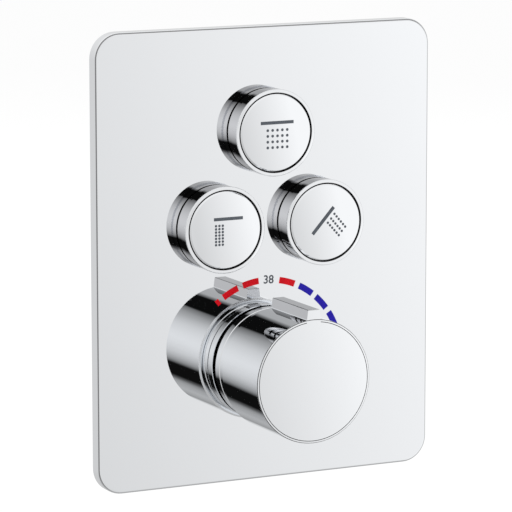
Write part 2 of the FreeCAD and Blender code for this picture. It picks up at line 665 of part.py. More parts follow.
def make_knob_shell():
    base = on_axis(KNOB)
    seam_floor = KNOB_FRONT_Y + KNOB_SEAM_DEPTH
    shell = turned([
        (0.0, KNOB_FRONT_Y), (KNOB_SEAM_RADIUS - KNOB_SEAM / 2, KNOB_FRONT_Y),
        (KNOB_SEAM_RADIUS - KNOB_SEAM / 2, seam_floor), (KNOB_SEAM_RADIUS + KNOB_SEAM / 2, seam_floor),
        (KNOB_SEAM_RADIUS + KNOB_SEAM / 2, KNOB_FRONT_Y), (KNOB_RADIUS - KNOB_EDGE, KNOB_FRONT_Y),
        (KNOB_RADIUS, KNOB_FRONT_Y + KNOB_EDGE), (KNOB_RADIUS, KNOB_BACK_Y - KNOB_BACK_BEVEL),
        (KNOB_RADIUS - KNOB_BACK_BEVEL, KNOB_BACK_Y), (KNOB_BORE, KNOB_BACK_Y),
        (KNOB_BORE, KNOB_FRONT_Y + KNOB_FACE), (0.0, KNOB_FRONT_Y + KNOB_FACE)], base)
    wing_top = KNOB_Z + KNOB_RADIUS + WING_HEIGHT
    wing_foot = KNOB_Z + math.sqrt(KNOB_RADIUS ** 2 - WING_FOOT_WIDTH ** 2 / 4)
    wing_root = KNOB_Z + KNOB_BORE + JOIN
    outline = [(-WING_FOOT_WIDTH / 2, wing_root), (-WING_FOOT_WIDTH / 2, wing_foot),
               (-WING_TOP_WIDTH / 2, wing_top), (WING_TOP_WIDTH / 2, wing_top),
               (WING_FOOT_WIDTH / 2, wing_foot), (WING_FOOT_WIDTH / 2, wing_root)]
    corners = [Vector(KNOB[0] + x, KNOB_FRONT_Y, z) for x, z in outline]
    face = Part.Face(Part.makePolygon(corners + corners[:1]))
    wing = face.extrude(Vector(0, KNOB_BACK_Y - KNOB_BACK_BEVEL - KNOB_FRONT_Y, 0))
    sharp = [e for e in wing.Edges if e.BoundBox.ZMin > wing_top - TOUCH]
    wing = wing.makeFillet(WING_EDGE, sharp)
    screw_hole = rod(GRUB_SCREW_RADIUS + SCREW_HOLE_EXTRA, KNOB_BORE - OVERCUT, KNOB_RADIUS + OVERCUT,
                     Vector(KNOB[0], INSERT_RIM_Y, KNOB_Z), DOWN)
    keep("knob_shell", fused(shell, [wing]).cut(screw_hole))


def make_knob_insert():
    base = on_axis(KNOB)
    rim_front = INSERT_RIM_Y - INSERT_RIM_WIDTH / 2
    rim_back = INSERT_RIM_Y + INSERT_RIM_WIDTH / 2
    hub = turned([
        (0.0, KNOB_FRONT_Y + KNOB_FACE), (HUB_RADIUS, KNOB_FRONT_Y + KNOB_FACE),
        (HUB_RADIUS, INSERT_RIM_Y - INSERT_WEB / 2), (INSERT_RIM_INNER, INSERT_RIM_Y - INSERT_WEB / 2),
        (INSERT_RIM_INNER, rim_front), (KNOB_BORE, rim_front), (KNOB_BORE, rim_back),
        (INSERT_RIM_INNER, rim_back), (INSERT_RIM_INNER, INSERT_RIM_Y + INSERT_WEB / 2),
        (HUB_RADIUS, INSERT_RIM_Y + INSERT_WEB / 2), (HUB_RADIUS, HUB_BACK_Y), (0.0, HUB_BACK_Y)], base)
    lug_start = HUB_BACK_Y - STOP_LUG_LENGTH
    lug = rod(STOP_LUG_RADIUS, lug_start, HUB_BACK_Y, base).common(
        sector(STOP_LUG_HALF_ANGLE, 2 * STOP_LUG_RADIUS, lug_start - OVERCUT, HUB_BACK_Y + OVERCUT, KNOB))
    flats_end = SPINDLE_FRONT_Y + SPINDLE_FLAT_LENGTH
    socket = [flatted_rod(SPINDLE_RADIUS, SPINDLE_FLAT, SPINDLE_FRONT_Y, flats_end, base),
              rod(SPINDLE_RADIUS, flats_end, HUB_BACK_Y + OVERCUT, base)]
    grub = rod(GRUB_SCREW_RADIUS, KNOB_BORE - GRUB_SCREW_LENGTH + KNOB_WALL, KNOB_RADIUS,
               Vector(KNOB[0], INSERT_RIM_Y, KNOB_Z), DOWN)
    keep("knob_insert", fused(hub, [lug]).cut(socket + [grub]))


def make_grub_screw():
    base = Vector(KNOB[0], INSERT_RIM_Y, KNOB_Z)
    tip = KNOB_BORE - GRUB_SCREW_LENGTH + KNOB_WALL
    outer = KNOB_BORE + KNOB_WALL / 2
    screw = rod(GRUB_SCREW_RADIUS - THREAD_SLACK, tip, outer, base, DOWN)
    socket = hexagon(GRUB_SCREW_RADIUS, outer - GRUB_SOCKET_DEPTH, outer + OVERCUT, base, DOWN)
    keep("knob_grub_screw", screw.cut(socket))


def make_knob_collar():
    base = on_axis(KNOB)
    inner = COLLAR_RADIUS - COLLAR_WALL
    groove_y = FRONT_Y - COLLAR_GROOVE_REACH
    keep("knob_collar", turned([
        (inner, COLLAR_FRONT_Y), (COLLAR_RADIUS, COLLAR_FRONT_Y), (COLLAR_RADIUS, groove_y - COLLAR_GROOVE),
        (COLLAR_RADIUS - COLLAR_GROOVE, groove_y), (COLLAR_RADIUS, groove_y + COLLAR_GROOVE),
        (COLLAR_RADIUS, COLLAR_BACK_Y - COLLAR_EDGE), (COLLAR_RADIUS - COLLAR_EDGE, COLLAR_BACK_Y),
        (COLLAR_NECK_RADIUS, COLLAR_BACK_Y), (COLLAR_NECK_RADIUS, COLLAR_NECK_BACK_Y),
        (COLLAR_NECK_BORE, COLLAR_NECK_BACK_Y), (COLLAR_NECK_BORE, COLLAR_BACK_Y - COLLAR_WEB),
        (inner, COLLAR_BACK_Y - COLLAR_WEB)], base))
    keep("collar_seat", tube(COLLAR_SEAT_RADIUS, COLLAR_NECK_RADIUS, COLLAR_BACK_Y, FRONT_Y, base))


def make_stop_ring():
    base = on_axis(KNOB)
    ring = tube(STOP_RING_RADIUS, NOSE_RADIUS, STOP_RING_FRONT_Y, STOP_RING_BACK_Y, base)
    tooth = tube(NOSE_RADIUS + JOIN, STOP_TOOTH_INNER, STOP_RING_FRONT_Y, NOSE_FRONT_Y, base)
    open_angle = KNOB_TURN + STOP_LUG_HALF_ANGLE + STOP_MARGIN
    gap = sector(open_angle, 3 * NOSE_RADIUS, STOP_RING_FRONT_Y - OVERCUT, NOSE_FRONT_Y + OVERCUT, KNOB)
    gap = gap.common(rod(NOSE_RADIUS, STOP_RING_FRONT_Y - OVERCUT, NOSE_FRONT_Y + OVERCUT, base))
    keep("stop_ring", fused(ring, [tooth]).cut(gap))


# ---- thermostat cartridge -------------------------------------------------------------

def make_thermostat():
    base = on_axis(KNOB)
    bore_start = MOUTH_Y + THERMOSTAT_FRONT_WALL
    bore_end = THERMOSTAT_BACK_Y - THERMOSTAT_END_WALL
    tail_bore = SPINDLE_TAIL_RADIUS + FREE_GAP
    body = turned([
        (SPINDLE_RADIUS + RUNNING_FIT, NOSE_FRONT_Y), (NOSE_RADIUS, NOSE_FRONT_Y),
        (NOSE_RADIUS, THERMOSTAT_FLANGE_Y), (THERMOSTAT_FLANGE_RADIUS, THERMOSTAT_FLANGE_Y),
        (THERMOSTAT_FLANGE_RADIUS, MOUTH_Y), (THERMOSTAT_RADIUS, MOUTH_Y),
        (THERMOSTAT_RADIUS, THERMOSTAT_BACK_Y), (THERMOSTAT_END_PORT, THERMOSTAT_BACK_Y),
        (THERMOSTAT_END_PORT, bore_end), (THERMOSTAT_BORE, bore_end), (THERMOSTAT_BORE, bore_start),
        (tail_bore, bore_start), (tail_bore, MOUTH_Y), (NOSE_BORE, MOUTH_Y),
        (NOSE_BORE, NOSE_FRONT_Y + NOSE_BEARING),
        (SPINDLE_RADIUS + RUNNING_FIT, NOSE_FRONT_Y + NOSE_BEARING)], base)
    seal_places = (MOUTH_Y + SEAL_INSET, PORT_Y, THERMOSTAT_BACK_Y - SEAL_INSET)
    cuts = [groove(THERMOSTAT_RADIUS, SEAL_SECTION, along, base) for along in seal_places]
    for side in (-1, 1):
        middle = PORT_Y + side * MIXER_PORT_SHIFT
        half = MIXER_WINDOW_LENGTH / 2
        channel = half + WAIST_EXTRA
        outside = THERMOSTAT_RADIUS + OVERCUT
        cuts += windows(middle - half, middle + half, MIXER_WINDOW_WIDTH, outside, base, MIXER_WINDOWS)
        cuts.append(tube(outside, THERMOSTAT_WAIST, middle - channel, middle + channel, base))
    keep("thermostat_body", body.cut(cuts))
    keep("thermostat_seals", *[o_ring(THERMOSTAT_RADIUS, SEAL_SECTION, along, base) for along in seal_places])

    flats_end = SPINDLE_FRONT_Y + SPINDLE_FLAT_LENGTH
    collar_end = SPINDLE_COLLAR_FRONT_Y + SPINDLE_COLLAR_LENGTH
    spindle = fused(flatted_rod(SPINDLE_RADIUS, SPINDLE_FLAT, SPINDLE_FRONT_Y, flats_end, base), [
        rod(SPINDLE_RADIUS, flats_end, collar_end, base),
        rod(NOSE_BORE - FREE_GAP, SPINDLE_COLLAR_FRONT_Y, collar_end, base),
        rod(SPINDLE_TAIL_RADIUS, SPINDLE_COLLAR_FRONT_Y, SPINDLE_TAIL_BACK_Y, base)])
    thread_start = SHUTTLE_STEM_FRONT_Y - SHUTTLE_TRAVEL - THREAD_RUNOUT
    thread = rod(SHUTTLE_STEM_RADIUS + RUNNING_FIT, thread_start, SPINDLE_TAIL_BACK_Y + OVERCUT, base)
    keep("thermostat_spindle", spindle.cut(thread))

    shuttle_end = SHUTTLE_FRONT_Y + SHUTTLE_LENGTH
    land = (SHUTTLE_LENGTH - SHUTTLE_GROOVE) / 2
    rim = THERMOSTAT_BORE - RUNNING_FIT
    floor = rim - SHUTTLE_GROOVE_DEPTH
    shuttle = turned([
        (0.0, SHUTTLE_STEM_FRONT_Y), (SHUTTLE_STEM_RADIUS, SHUTTLE_STEM_FRONT_Y),
        (SHUTTLE_STEM_RADIUS, SHUTTLE_FRONT_Y), (rim, SHUTTLE_FRONT_Y), (rim, SHUTTLE_FRONT_Y + land),
        (floor, SHUTTLE_FRONT_Y + land), (floor, shuttle_end - land),
        (rim, shuttle_end - land), (rim, shuttle_end), (0.0, shuttle_end)], base)
    ports = []
    for index in range(SHUTTLE_PORTS):
        angle = 2.0 * math.pi * index / SHUTTLE_PORTS
        at = base + Vector(math.cos(angle), 0, math.sin(angle)) * SHUTTLE_PORT_CIRCLE
        ports.append(rod(SHUTTLE_PORT_RADIUS, SHUTTLE_FRONT_Y - OVERCUT, shuttle_end + OVERCUT, at))
    keep("thermostat_shuttle", shuttle.cut(ports))
    element_end = shuttle_end + ELEMENT_LENGTH
    shoulder = element_end - ELEMENT_TIP_LENGTH
    keep("thermostat_element", turned([
        (0.0, shuttle_end), (ELEMENT_RADIUS, shuttle_end), (ELEMENT_RADIUS, shoulder - ELEMENT_BEVEL),
        (ELEMENT_TIP_RADIUS, shoulder), (ELEMENT_TIP_RADIUS, element_end), (0.0, element_end)], base))
    keep("thermostat_spring", coil_spring(RETURN_SPRING_RADIUS, RETURN_SPRING_WIRE, RETURN_SPRING_TURNS,
                                          shuttle_end, bore_end, base))

    nut_front = THERMOSTAT_FLANGE_Y - THERMOSTAT_NUT_WEB
    nut_back = MOUTH_Y + THERMOSTAT_NUT_GRIP
    nut = hexagon(THERMOSTAT_NUT_FLATS, nut_front, nut_back, base)
    bores = [rod(THERMOSTAT_NUT_BORE, nut_front - OVERCUT, MOUTH_Y, base),
             rod(THERMOSTAT_THREAD_RADIUS + SEATED_FIT, THERMOSTAT_FLANGE_Y, nut_back + OVERCUT, base)]
    keep("thermostat_nut", nut.cut(bores))


# ---- brass body -------------------------------------------------------------------------

# direction of each inlet, and which side of the pipe axis its port to the mixer lies
INLETS = {"hot": (LEFT, -1), "cold": (RIGHT, 1)}
# direction and length of each outlet, from its chamber's axis
OUTLETS = {
    "top": (UP, TOP_OUTLET_REACH - TOP_BUTTON_Z),
    "left": (LEFT, SIDE_OUTLET_REACH - BUTTON_SPREAD),
    "right": (RIGHT, SIDE_OUTLET_REACH - BUTTON_SPREAD),
}


def port_base(centre):
    """Point of a chamber's axis at the depth of the pipe connections."""
    return Vector(centre[0], PORT_Y, centre[1])


def stub(reach, base, direction):
    """Outside of a pipe connection: round, with a six-sided band at its mouth."""
    return [rod(STUB_NECK_RADIUS, 0, reach, base, direction),
            hexagon(STUB_HEX, reach - STUB_HEX_LENGTH, reach, base, direction),
            rod(STUB_RADIUS, 0, reach - STUB_HEX_LENGTH - STUB_NECK_LENGTH, base, direction)]


def chamber(radius, thread_radius, thread_length, back, base):
    """Outside of a cartridge chamber, turned down at its mouth for the nut."""
    return turned([
        (0.0, MOUTH_Y), (thread_radius, MOUTH_Y), (thread_radius, MOUTH_Y + thread_length),
        (radius, MOUTH_Y + thread_length + THREAD_RUNOUT), (radius, back - CAST_BEVEL),
        (radius - CAST_BEVEL, back), (0.0, back)], base)


def duct_runs():
    """The cross of ducts behind the chambers, as (start point, direction, length)."""
    vertical = Vector(0, DUCT_Y, KNOB_Z)
    level = Vector(-BUTTON_SPREAD - DUCT_OVERRUN, DUCT_Y, BUTTON_ROW_Z)
    return [(vertical, UP, TOP_BUTTON_Z - KNOB_Z + DUCT_OVERRUN),
            (level, RIGHT, 2 * (BUTTON_SPREAD + DUCT_OVERRUN))]


def lug_points():
    """Places of the screws that hold the wall bracket to the brass body."""
    return [(side * LUG_X, z) for z in LUG_ROWS for side in (-1, 1)]


def make_valve_body():
    outside = [chamber(CHAMBER_RADIUS, CHAMBER_THREAD_RADIUS, CHAMBER_THREAD_LENGTH, CHAMBER_BACK_Y,
                       on_axis(at)) for at in BUTTONS.values()]
    outside.append(chamber(MIXER_RADIUS, THERMOSTAT_THREAD_RADIUS, THERMOSTAT_THREAD_LENGTH, MIXER_BACK_Y,
                           on_axis(KNOB)))
    inside = [rod(CHAMBER_BORE, MOUTH_Y - OVERCUT, CARTRIDGE_BACK_Y, on_axis(at)) for at in BUTTONS.values()]
    for at in BUTTONS.values():
        room_end = PISTON_BACK_Y + PUSH_TRAVEL + PISTON_ROOM
        inside.append(rod(PISTON_RADIUS + PISTON_ROOM, CARTRIDGE_BACK_Y - OVERCUT, room_end, on_axis(at)))
        inside.append(rod(CHAMBER_PORT, CARTRIDGE_BACK_Y - OVERCUT, DUCT_Y, on_axis(at)))
    inside.append(rod(MIXER_BORE, MOUTH_Y - OVERCUT, THERMOSTAT_BACK_Y, on_axis(KNOB)))
    inside.append(rod(DUCT_BORE, THERMOSTAT_BACK_Y - OVERCUT, DUCT_Y, on_axis(KNOB)))
    for start, direction, length in duct_runs():
        outside.append(rod(DUCT_RADIUS, 0, length, start, direction))
        bore_start = 0 if direction == UP else -OVERCUT
        inside.append(rod(DUCT_BORE, bore_start, length + OVERCUT, start, direction))
    for side, (direction, reach) in OUTLETS.items():
        base = port_base(BUTTONS[side])
        outside += stub(reach, base, direction)
        inside.append(rod(THREAD_BORE, reach - THREAD_LENGTH, reach + OVERCUT, base, direction))
        inside.append(rod(OUTLET_BORE, CHAMBER_BORE / 2, reach, base, direction))
    for direction, side in INLETS.values():
        base = port_base(KNOB)
        port = base + INTO_WALL * (side * MIXER_PORT_SHIFT)
        outside += stub(INLET_REACH, base, direction)
        inside.append(rod(THREAD_BORE, INLET_REACH - THREAD_LENGTH, INLET_REACH + OVERCUT, base, direction))
        inside.append(rod(STUB_BORE + SEATED_FIT, check_start(), INLET_REACH, base, direction))
        inside.append(rod(MIXER_PORT, MIXER_BORE / 2, check_start() + OVERCUT, port, direction))
    for at in post_points():
        outside.append(rod(POST_RADIUS, MOUTH_Y, POST_BACK_Y, on_axis(at)))
        tap_end = MOUTH_Y + SCREW_BITE + TAP_OVERRUN
        inside.append(rod(SCREW_RADIUS + THREAD_SLACK, MOUTH_Y - OVERCUT, tap_end, on_axis(at)))
    outside.append(block(2 * POST_X, 2 * RIB_HALF_HEIGHT, RIB_FRONT_Y, POST_BACK_Y, (0.0, POST_HIGH_Z)))
    outside.append(block(2 * POST_X, 2 * RIB_HALF_HEIGHT, RIB_FRONT_Y, POST_BACK_Y, (0.0, POST_LOW_Z)))
    for row in LUG_ROWS:
        outside.append(block(2 * (LUG_X + LUG_RADIUS / 2), 2 * LUG_RADIUS, LUG_FRONT_Y, DUCT_Y + DUCT_RADIUS,
                             (0.0, row)))
    for at in lug_points():
        outside.append(rod(LUG_RADIUS, LUG_FRONT_Y, BRACKET_Y, on_axis(at)))
        tap_start = BRACKET_Y - BRACKET_SCREW_BITE - OVERCUT
        inside.append(rod(SCREW_RADIUS + THREAD_SLACK, tap_start, BRACKET_Y + OVERCUT, on_axis(at)))
    keep("valve_body", fused(outside[0], outside[1:]).cut(inside))


def make_duct_plugs():
    plugs = []
    ends = []
    for start, direction, length in duct_runs():
        ends.append((start + direction * length, direction))
        if direction == RIGHT:
            ends.append((start, LEFT))
    for base, direction in ends:
        plug = fused(rod(DUCT_BORE - THREAD_SLACK, -PLUG_SHANK, JOIN, base, direction),
                     [hexagon(PLUG_ACROSS_FLATS, 0, PLUG_HEAD, base, direction)])
        socket_floor = PLUG_HEAD - PLUG_SOCKET_DEPTH
        plugs.append(plug.cut(hexagon(PLUG_SOCKET, socket_floor, PLUG_HEAD + OVERCUT, base, direction)))
    keep("duct_plugs", *plugs)


# ---- non-return valves ----------------------------------------------------------------

def check_start():
    """Inner end of a non-return valve's housing, from the knob's axis."""
    return INLET_REACH - THREAD_LENGTH - FILTER_THICKNESS - CHECK_LENGTH


def make_check_valve(side, direction):
    base = port_base(KNOB)
    inner_end = check_start()
    outer_end = inner_end + CHECK_LENGTH
    bore = STUB_BORE - CHECK_WALL
    seat_start = outer_end - CHECK_SEAT
    housing = turned([
        (bore, inner_end), (STUB_BORE, inner_end), (STUB_BORE, outer_end), (CHECK_SEAT_BORE, outer_end),
        (CHECK_SEAT_BORE, seat_start), (bore, seat_start)], base, direction)
    arms = []
    for index in range(CHECK_ARMS):
        arm = Part.makeBox(bore + JOIN, CHECK_SPIDER, CHECK_SPIDER, Vector(0, -CHECK_SPIDER / 2, inner_end))
        arm.rotate(Vector(), Vector(0, 0, 1), 360.0 * index / CHECK_ARMS)
        arm.Placement = Placement(base, Rotation(Vector(0, 0, 1), direction)).multiply(arm.Placement)
        arms.append(arm)
    head_front = seat_start - FREE_GAP
    head_back = head_front - POPPET_HEAD
    hub_end = head_back - POPPET_TRAVEL - FREE_GAP
    hub = rod(CHECK_HUB_RADIUS, inner_end, hub_end, base, direction)
    guide = rod(POPPET_STEM + RUNNING_FIT, inner_end - OVERCUT, hub_end + OVERCUT, base, direction)
    keep(side + "_check_valve", fused(housing, arms + [hub]).cut(guide))

    stem_end = inner_end + POPPET_TRAVEL
    nose = head_front + POPPET_NOSE
    keep(side + "_check_poppet", turned([
        (0.0, stem_end), (POPPET_STEM, stem_end), (POPPET_STEM, head_back),
        (POPPET_RADIUS, head_back), (POPPET_RADIUS, head_front), (CHECK_SEAT_BORE - FREE_GAP, head_front),
        (POPPET_NOSE_RADIUS, nose), (0.0, nose)], base, direction))
    keep(side + "_check_spring", coil_spring(POPPET_SPRING_RADIUS, POPPET_SPRING_WIRE, POPPET_SPRING_TURNS,
                                             inner_end + CHECK_SPIDER, head_back, base, direction))

    disc = rod(STUB_BORE, outer_end, outer_end + FILTER_THICKNESS, base, direction)
    slots = []
    for index in range(FILTER_SLOTS):
        offset = (index - (FILTER_SLOTS - 1) / 2) * FILTER_PITCH
        half = math.sqrt((STUB_BORE - FILTER_LIP) ** 2 - offset ** 2)
        outline = [(offset - FILTER_SLOT / 2, -half), (offset + FILTER_SLOT / 2, -half),
                   (offset + FILTER_SLOT / 2, half), (offset - FILTER_SLOT / 2, half)]
        back = outer_end + FILTER_THICKNESS + OVERCUT
        slots.append(prism(outline, outer_end - OVERCUT, back, base, direction))
    keep(side + "_inlet_filter", disc.cut(slots))


# ---- wall bracket -------------------------------------------------------------------------

def countersunk(extra, tip_y, base):
    """Flat-headed screw flush with the bracket's back, or the hole for one."""
    shank = SCREW_RADIUS + extra
    return turned([
        (0.0, tip_y), (shank, tip_y), (shank, BRACKET_BACK_Y - BRACKET_SCREW_HEAD),
        (BRACKET_SCREW_HEAD_RADIUS + extra, BRACKET_BACK_Y), (0.0, BRACKET_BACK_Y)], base)


def make_wall_bracket():
    sheet = rounded_block(BRACKET_WIDTH, BRACKET_HEIGHT, BRACKET_CORNER, BRACKET_Y, BRACKET_BACK_Y)
    cuts = [rod(BRACKET_HOLE_RADIUS, BRACKET_Y - OVERCUT, BRACKET_BACK_Y + OVERCUT, on_axis(at))
            for at in corner_points(BRACKET_HOLE_X, BRACKET_HOLE_Z)]
    cuts += [countersunk(SEATED_FIT, BRACKET_Y - OVERCUT, on_axis(at)) for at in lug_points()]
    for z in BRACKET_WINDOW_Z:
        window = rounded_block(BRACKET_WINDOW_WIDTH, BRACKET_WINDOW_HEIGHT, BRACKET_CORNER,
                               BRACKET_Y - OVERCUT, BRACKET_BACK_Y + OVERCUT)
        window.translate(Vector(0, 0, z))
        cuts.append(window)
    keep("wall_bracket", sheet.cut(cuts))
    screws = []
    for at in lug_points():
        screw = countersunk(0.0, BRACKET_Y - BRACKET_SCREW_BITE, on_axis(at))
        socket_floor = BRACKET_BACK_Y - SCREW_SOCKET_DEPTH
        screws.append(screw.cut(hexagon(SCREW_SOCKET, socket_floor, BRACKET_BACK_Y + OVERCUT, on_axis(at))))
    keep("bracket_screws", *screws)


def build():
    make_face_plate()
    make_plate_seal()
    make_carrier_frame()
    make_plate_clips()
    make_frame_screws()
    seals = []
    for side, centre in BUTTONS.items():
        seals += make_button(side, centre)
    keep("cartridge_seals", *seals)
    make_knob_shell()
    make_knob_insert()
    make_grub_screw()
    make_knob_collar()
    make_stop_ring()
    make_thermostat()
    make_valve_body()
    make_duct_plugs()
    for side, (direction, _) in INLETS.items():
        make_check_valve(side, direction)
    make_wall_bracket()


build()
os.makedirs("parts", exist_ok=True)
for name, shape in PIECES.items():
    shape.exportStep(os.path.join("parts", name + ".step"))
    print(name, "solids", len(shape.Solids), "valid", shape.isValid(), "volume", round(shape.Volume, 1))
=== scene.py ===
import json
import math

import bmesh
import bpy
import numpy as np
from mathutils import Matrix, Vector


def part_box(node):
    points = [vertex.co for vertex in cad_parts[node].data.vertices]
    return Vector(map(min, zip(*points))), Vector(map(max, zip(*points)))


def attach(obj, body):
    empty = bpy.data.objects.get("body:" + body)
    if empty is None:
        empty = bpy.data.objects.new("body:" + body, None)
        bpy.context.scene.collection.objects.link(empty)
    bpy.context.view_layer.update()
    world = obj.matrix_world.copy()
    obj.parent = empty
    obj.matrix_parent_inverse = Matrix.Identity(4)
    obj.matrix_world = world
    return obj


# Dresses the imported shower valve: chrome front, printed scale and pictograms, brass body.
# The model's frame is in metres: X right, +Y into the wall, +Z up. The valve's own sizes below
# are in millimetres, and MM turns them into metres. A place on the front is given as (x, z).

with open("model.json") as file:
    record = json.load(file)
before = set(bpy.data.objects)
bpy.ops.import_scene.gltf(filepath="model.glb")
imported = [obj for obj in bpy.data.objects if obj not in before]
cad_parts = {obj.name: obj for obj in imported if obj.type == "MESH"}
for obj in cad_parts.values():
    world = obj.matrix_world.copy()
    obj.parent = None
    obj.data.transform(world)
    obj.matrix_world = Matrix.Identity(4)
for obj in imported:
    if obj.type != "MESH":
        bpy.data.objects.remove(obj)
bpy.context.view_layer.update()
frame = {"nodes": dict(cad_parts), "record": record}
NODES = frame["nodes"]
SLOT_OF = {entry["node"]: entry["material_slot"] for entry in frame["record"]["subparts"]}
MM = 0.001

BUTTON_CENTRES = {"top": (0.0, 57.4), "left": (-25.6, 14.4), "right": (25.6, 14.4)}
KNOB_CENTRE = (0.0, -51.0)


def low(node):
    """Lowest corner of a node, in millimetres."""
    return [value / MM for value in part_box(node)[0]]


def high(node):
    """Highest corner of a node, in millimetres."""
    return [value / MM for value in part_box(node)[1]]


# Places along Y and radii on the front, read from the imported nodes.
PLATE_FRONT = low("face_plate")[1]
PLATE_HALF_WIDTH = high("face_plate")[0]
PLATE_HALF_HEIGHT = high("face_plate")[2]
CAP_FRONT = low("button_cap_top")[1]
CAP_RADIUS = high("button_cap_top")[0]
RING_FRONT = low("flow_ring_top")[1]
RING_RADIUS = (high("flow_ring_top")[0] - low("flow_ring_top")[0]) / 2
KNOB_FRONT = low("knob_shell")[1]
KNOB_BACK = high("knob_shell")[1]
KNOB_RADIUS = high("knob_shell")[0]
COLLAR_RADIUS = high("knob_collar")[0]

# Gaps, edges and grooves of the same pieces.
RING_BACK = PLATE_FRONT - 0.8
RING_ROUND = 0.4
RING_STEP = 0.5
CAP_GAP = 0.45
CAP_EDGE = 0.8
KNOB_EDGE = 0.3
KNOB_BEVEL = 0.8
SEAM_RADIUS = 27.3
SEAM_WIDTH = 0.3
SEAM_DEPTH = 0.6
COLLAR_BACK = PLATE_FRONT - 1.7
GROOVE_BACK = PLATE_FRONT - 6.3
GROOVE_WIDTH = 0.4


# ---- node helpers -------------------------------------------------------------------------

def add(tree, kind, inputs=(), **settings):
    """One shader node with its settings and its inputs, which are values or sockets."""
    made = tree.nodes.new("ShaderNode" + kind)
    for name, value in settings.items():
        setattr(made, name, value)
    for key, value in dict(inputs).items():
        if isinstance(value, bpy.types.NodeSocket):
            tree.links.new(value, made.inputs[key])
        else:
            made.inputs[key].default_value = value
    return made


def calc(tree, operation, *values):
    """Output of one Math node."""
    return add(tree, "Math", dict(enumerate(values)), operation=operation).outputs[0]


def smooth_step(tree, value, start, end, first=0.0, last=1.0):
    """Smooth change from first to last while value goes from start to end."""
    made = add(tree, "MapRange", {"Value": value, "From Min": start, "From Max": end,
                                  "To Min": first, "To Max": last},
               interpolation_type="SMOOTHSTEP")
    return made.outputs["Result"]


def between(tree, value, start, end):
    """1 where a value lies between two others, and 0 elsewhere."""
    above = calc(tree, "GREATER_THAN", value, start)
    return calc(tree, "MULTIPLY", above, calc(tree, "LESS_THAN", value, end))


def blend_value(tree, factor, first, second):
    """Mix of two numbers."""
    made = add(tree, "Mix", {"Factor": factor, "A": first, "B": second}, data_type="FLOAT")
    return made.outputs["Result"]


def blend_colour(tree, factor, first, second):
    """Mix of two colours, given as sockets or as red, green, blue."""
    made = tree.nodes.new("ShaderNodeMix")
    made.data_type = "RGBA"
    colours = [socket for socket in made.inputs if socket.type == "RGBA"]
    for socket, value in zip([made.inputs[0]] + colours, (factor, first, second)):
        if isinstance(value, bpy.types.NodeSocket):
            tree.links.new(value, socket)
        elif socket.type == "RGBA":
            socket.default_value = tuple(value) + (1.0,)
        else:
            socket.default_value = value
    return next(socket for socket in made.outputs if socket.type == "RGBA")


def object_place(tree):
    """Place of a point in the model's frame, in metres."""
    return add(tree, "TexCoord").outputs["Object"]


def object_axes(tree):
    """The same place as three numbers, along X, Y and Z."""
    return add(tree, "SeparateXYZ", {"Vector": object_place(tree)}).outputs


def noise(tree, place, scale, detail, **inputs):
    """Soft random pattern from 0 to 1."""
    inputs = {"Vector": place, "Scale": scale, "Detail": detail, **inputs}
    return add(tree, "TexNoise", inputs).outputs["Fac"]


def new_group(name, inputs, outputs):
    """Shader node group with float or colour sockets; returns it with its two end nodes."""
    group = bpy.data.node_groups.new(name, "ShaderNodeTree")
    for label, default in inputs:
        kind = "Color" if isinstance(default, tuple) else "Float"
        socket = group.interface.new_socket(label, in_out="INPUT", socket_type="NodeSocket" + kind)
        socket.default_value = default + (1.0,) if isinstance(default, tuple) else default
    for label, kind in outputs:
        group.interface.new_socket(label, in_out="OUTPUT", socket_type="NodeSocket" + kind)
    return group, group.nodes.new("NodeGroupInput"), group.nodes.new("NodeGroupOutput")


def use_group(tree, group, **inputs):
    """Places a node group with its own values."""
    made = tree.nodes.new("ShaderNodeGroup")
    made.node_tree = group
    for label, value in inputs.items():
        value = value + (1.0,) if isinstance(value, tuple) else value
        made.inputs[label.replace("_", " ")].default_value = value
    return made.outputs


# ---- effects that several materials use ---------------------------------------------------

SMEAR_SCALE = 22.0
SMEAR_RANGE = (0.45, 0.75)
HAIRLINES = ((0.6, 900.0), (-0.9, 700.0))
HAIRLINE_STRETCH = (0.03, 1.0, 1.0)
HAIRLINE_RANGE = (0.66, 0.74)
WAVE_SCALE = 9.0


def make_polish_group():
    """Polished metal: faint smears and hairline scratches in the gloss, and a slow waviness.

    Each set of hairlines is a noise that is turned about Y, in radians, and stretched."""
    group, source, sink = new_group(
        "polished surface", [("Gloss", 0.03), ("Smear", 0.02), ("Scratch", 0.02), ("Wave", 1.0)],
        [("Roughness", "Float"), ("Height", "Float")])
    place = object_place(group)
    smears = smooth_step(group, noise(group, place, SMEAR_SCALE, 4.0, Roughness=0.6), *SMEAR_RANGE)
    lines = 0.0
    for turn, scale in HAIRLINES:
        turned = add(group, "Mapping", {"Vector": place, "Rotation": (0.0, turn, 0.0),
                                        "Scale": HAIRLINE_STRETCH}).outputs[0]
        thin = smooth_step(group, noise(group, turned, scale, 1.0), *HAIRLINE_RANGE)
        lines = calc(group, "ADD", lines, thin)
    rough = calc(group, "MULTIPLY_ADD", smears, source.outputs["Smear"], source.outputs["Gloss"])
    rough = calc(group, "MULTIPLY_ADD", lines, source.outputs["Scratch"], rough)
    wave = noise(group, place, WAVE_SCALE, 1.0)
    height = calc(group, "MULTIPLY", wave, source.outputs["Wave"])
    group.links.new(rough, sink.inputs["Roughness"])
    group.links.new(height, sink.inputs["Height"])
    return group


PATCH_RANGE = (0.38, 0.66)
SPECKLE_RANGE = (0.42, 0.62)
PATCH_SHARE = 0.65
SPECKLE_SHARE = 0.35
PIT_SHARE = 0.6


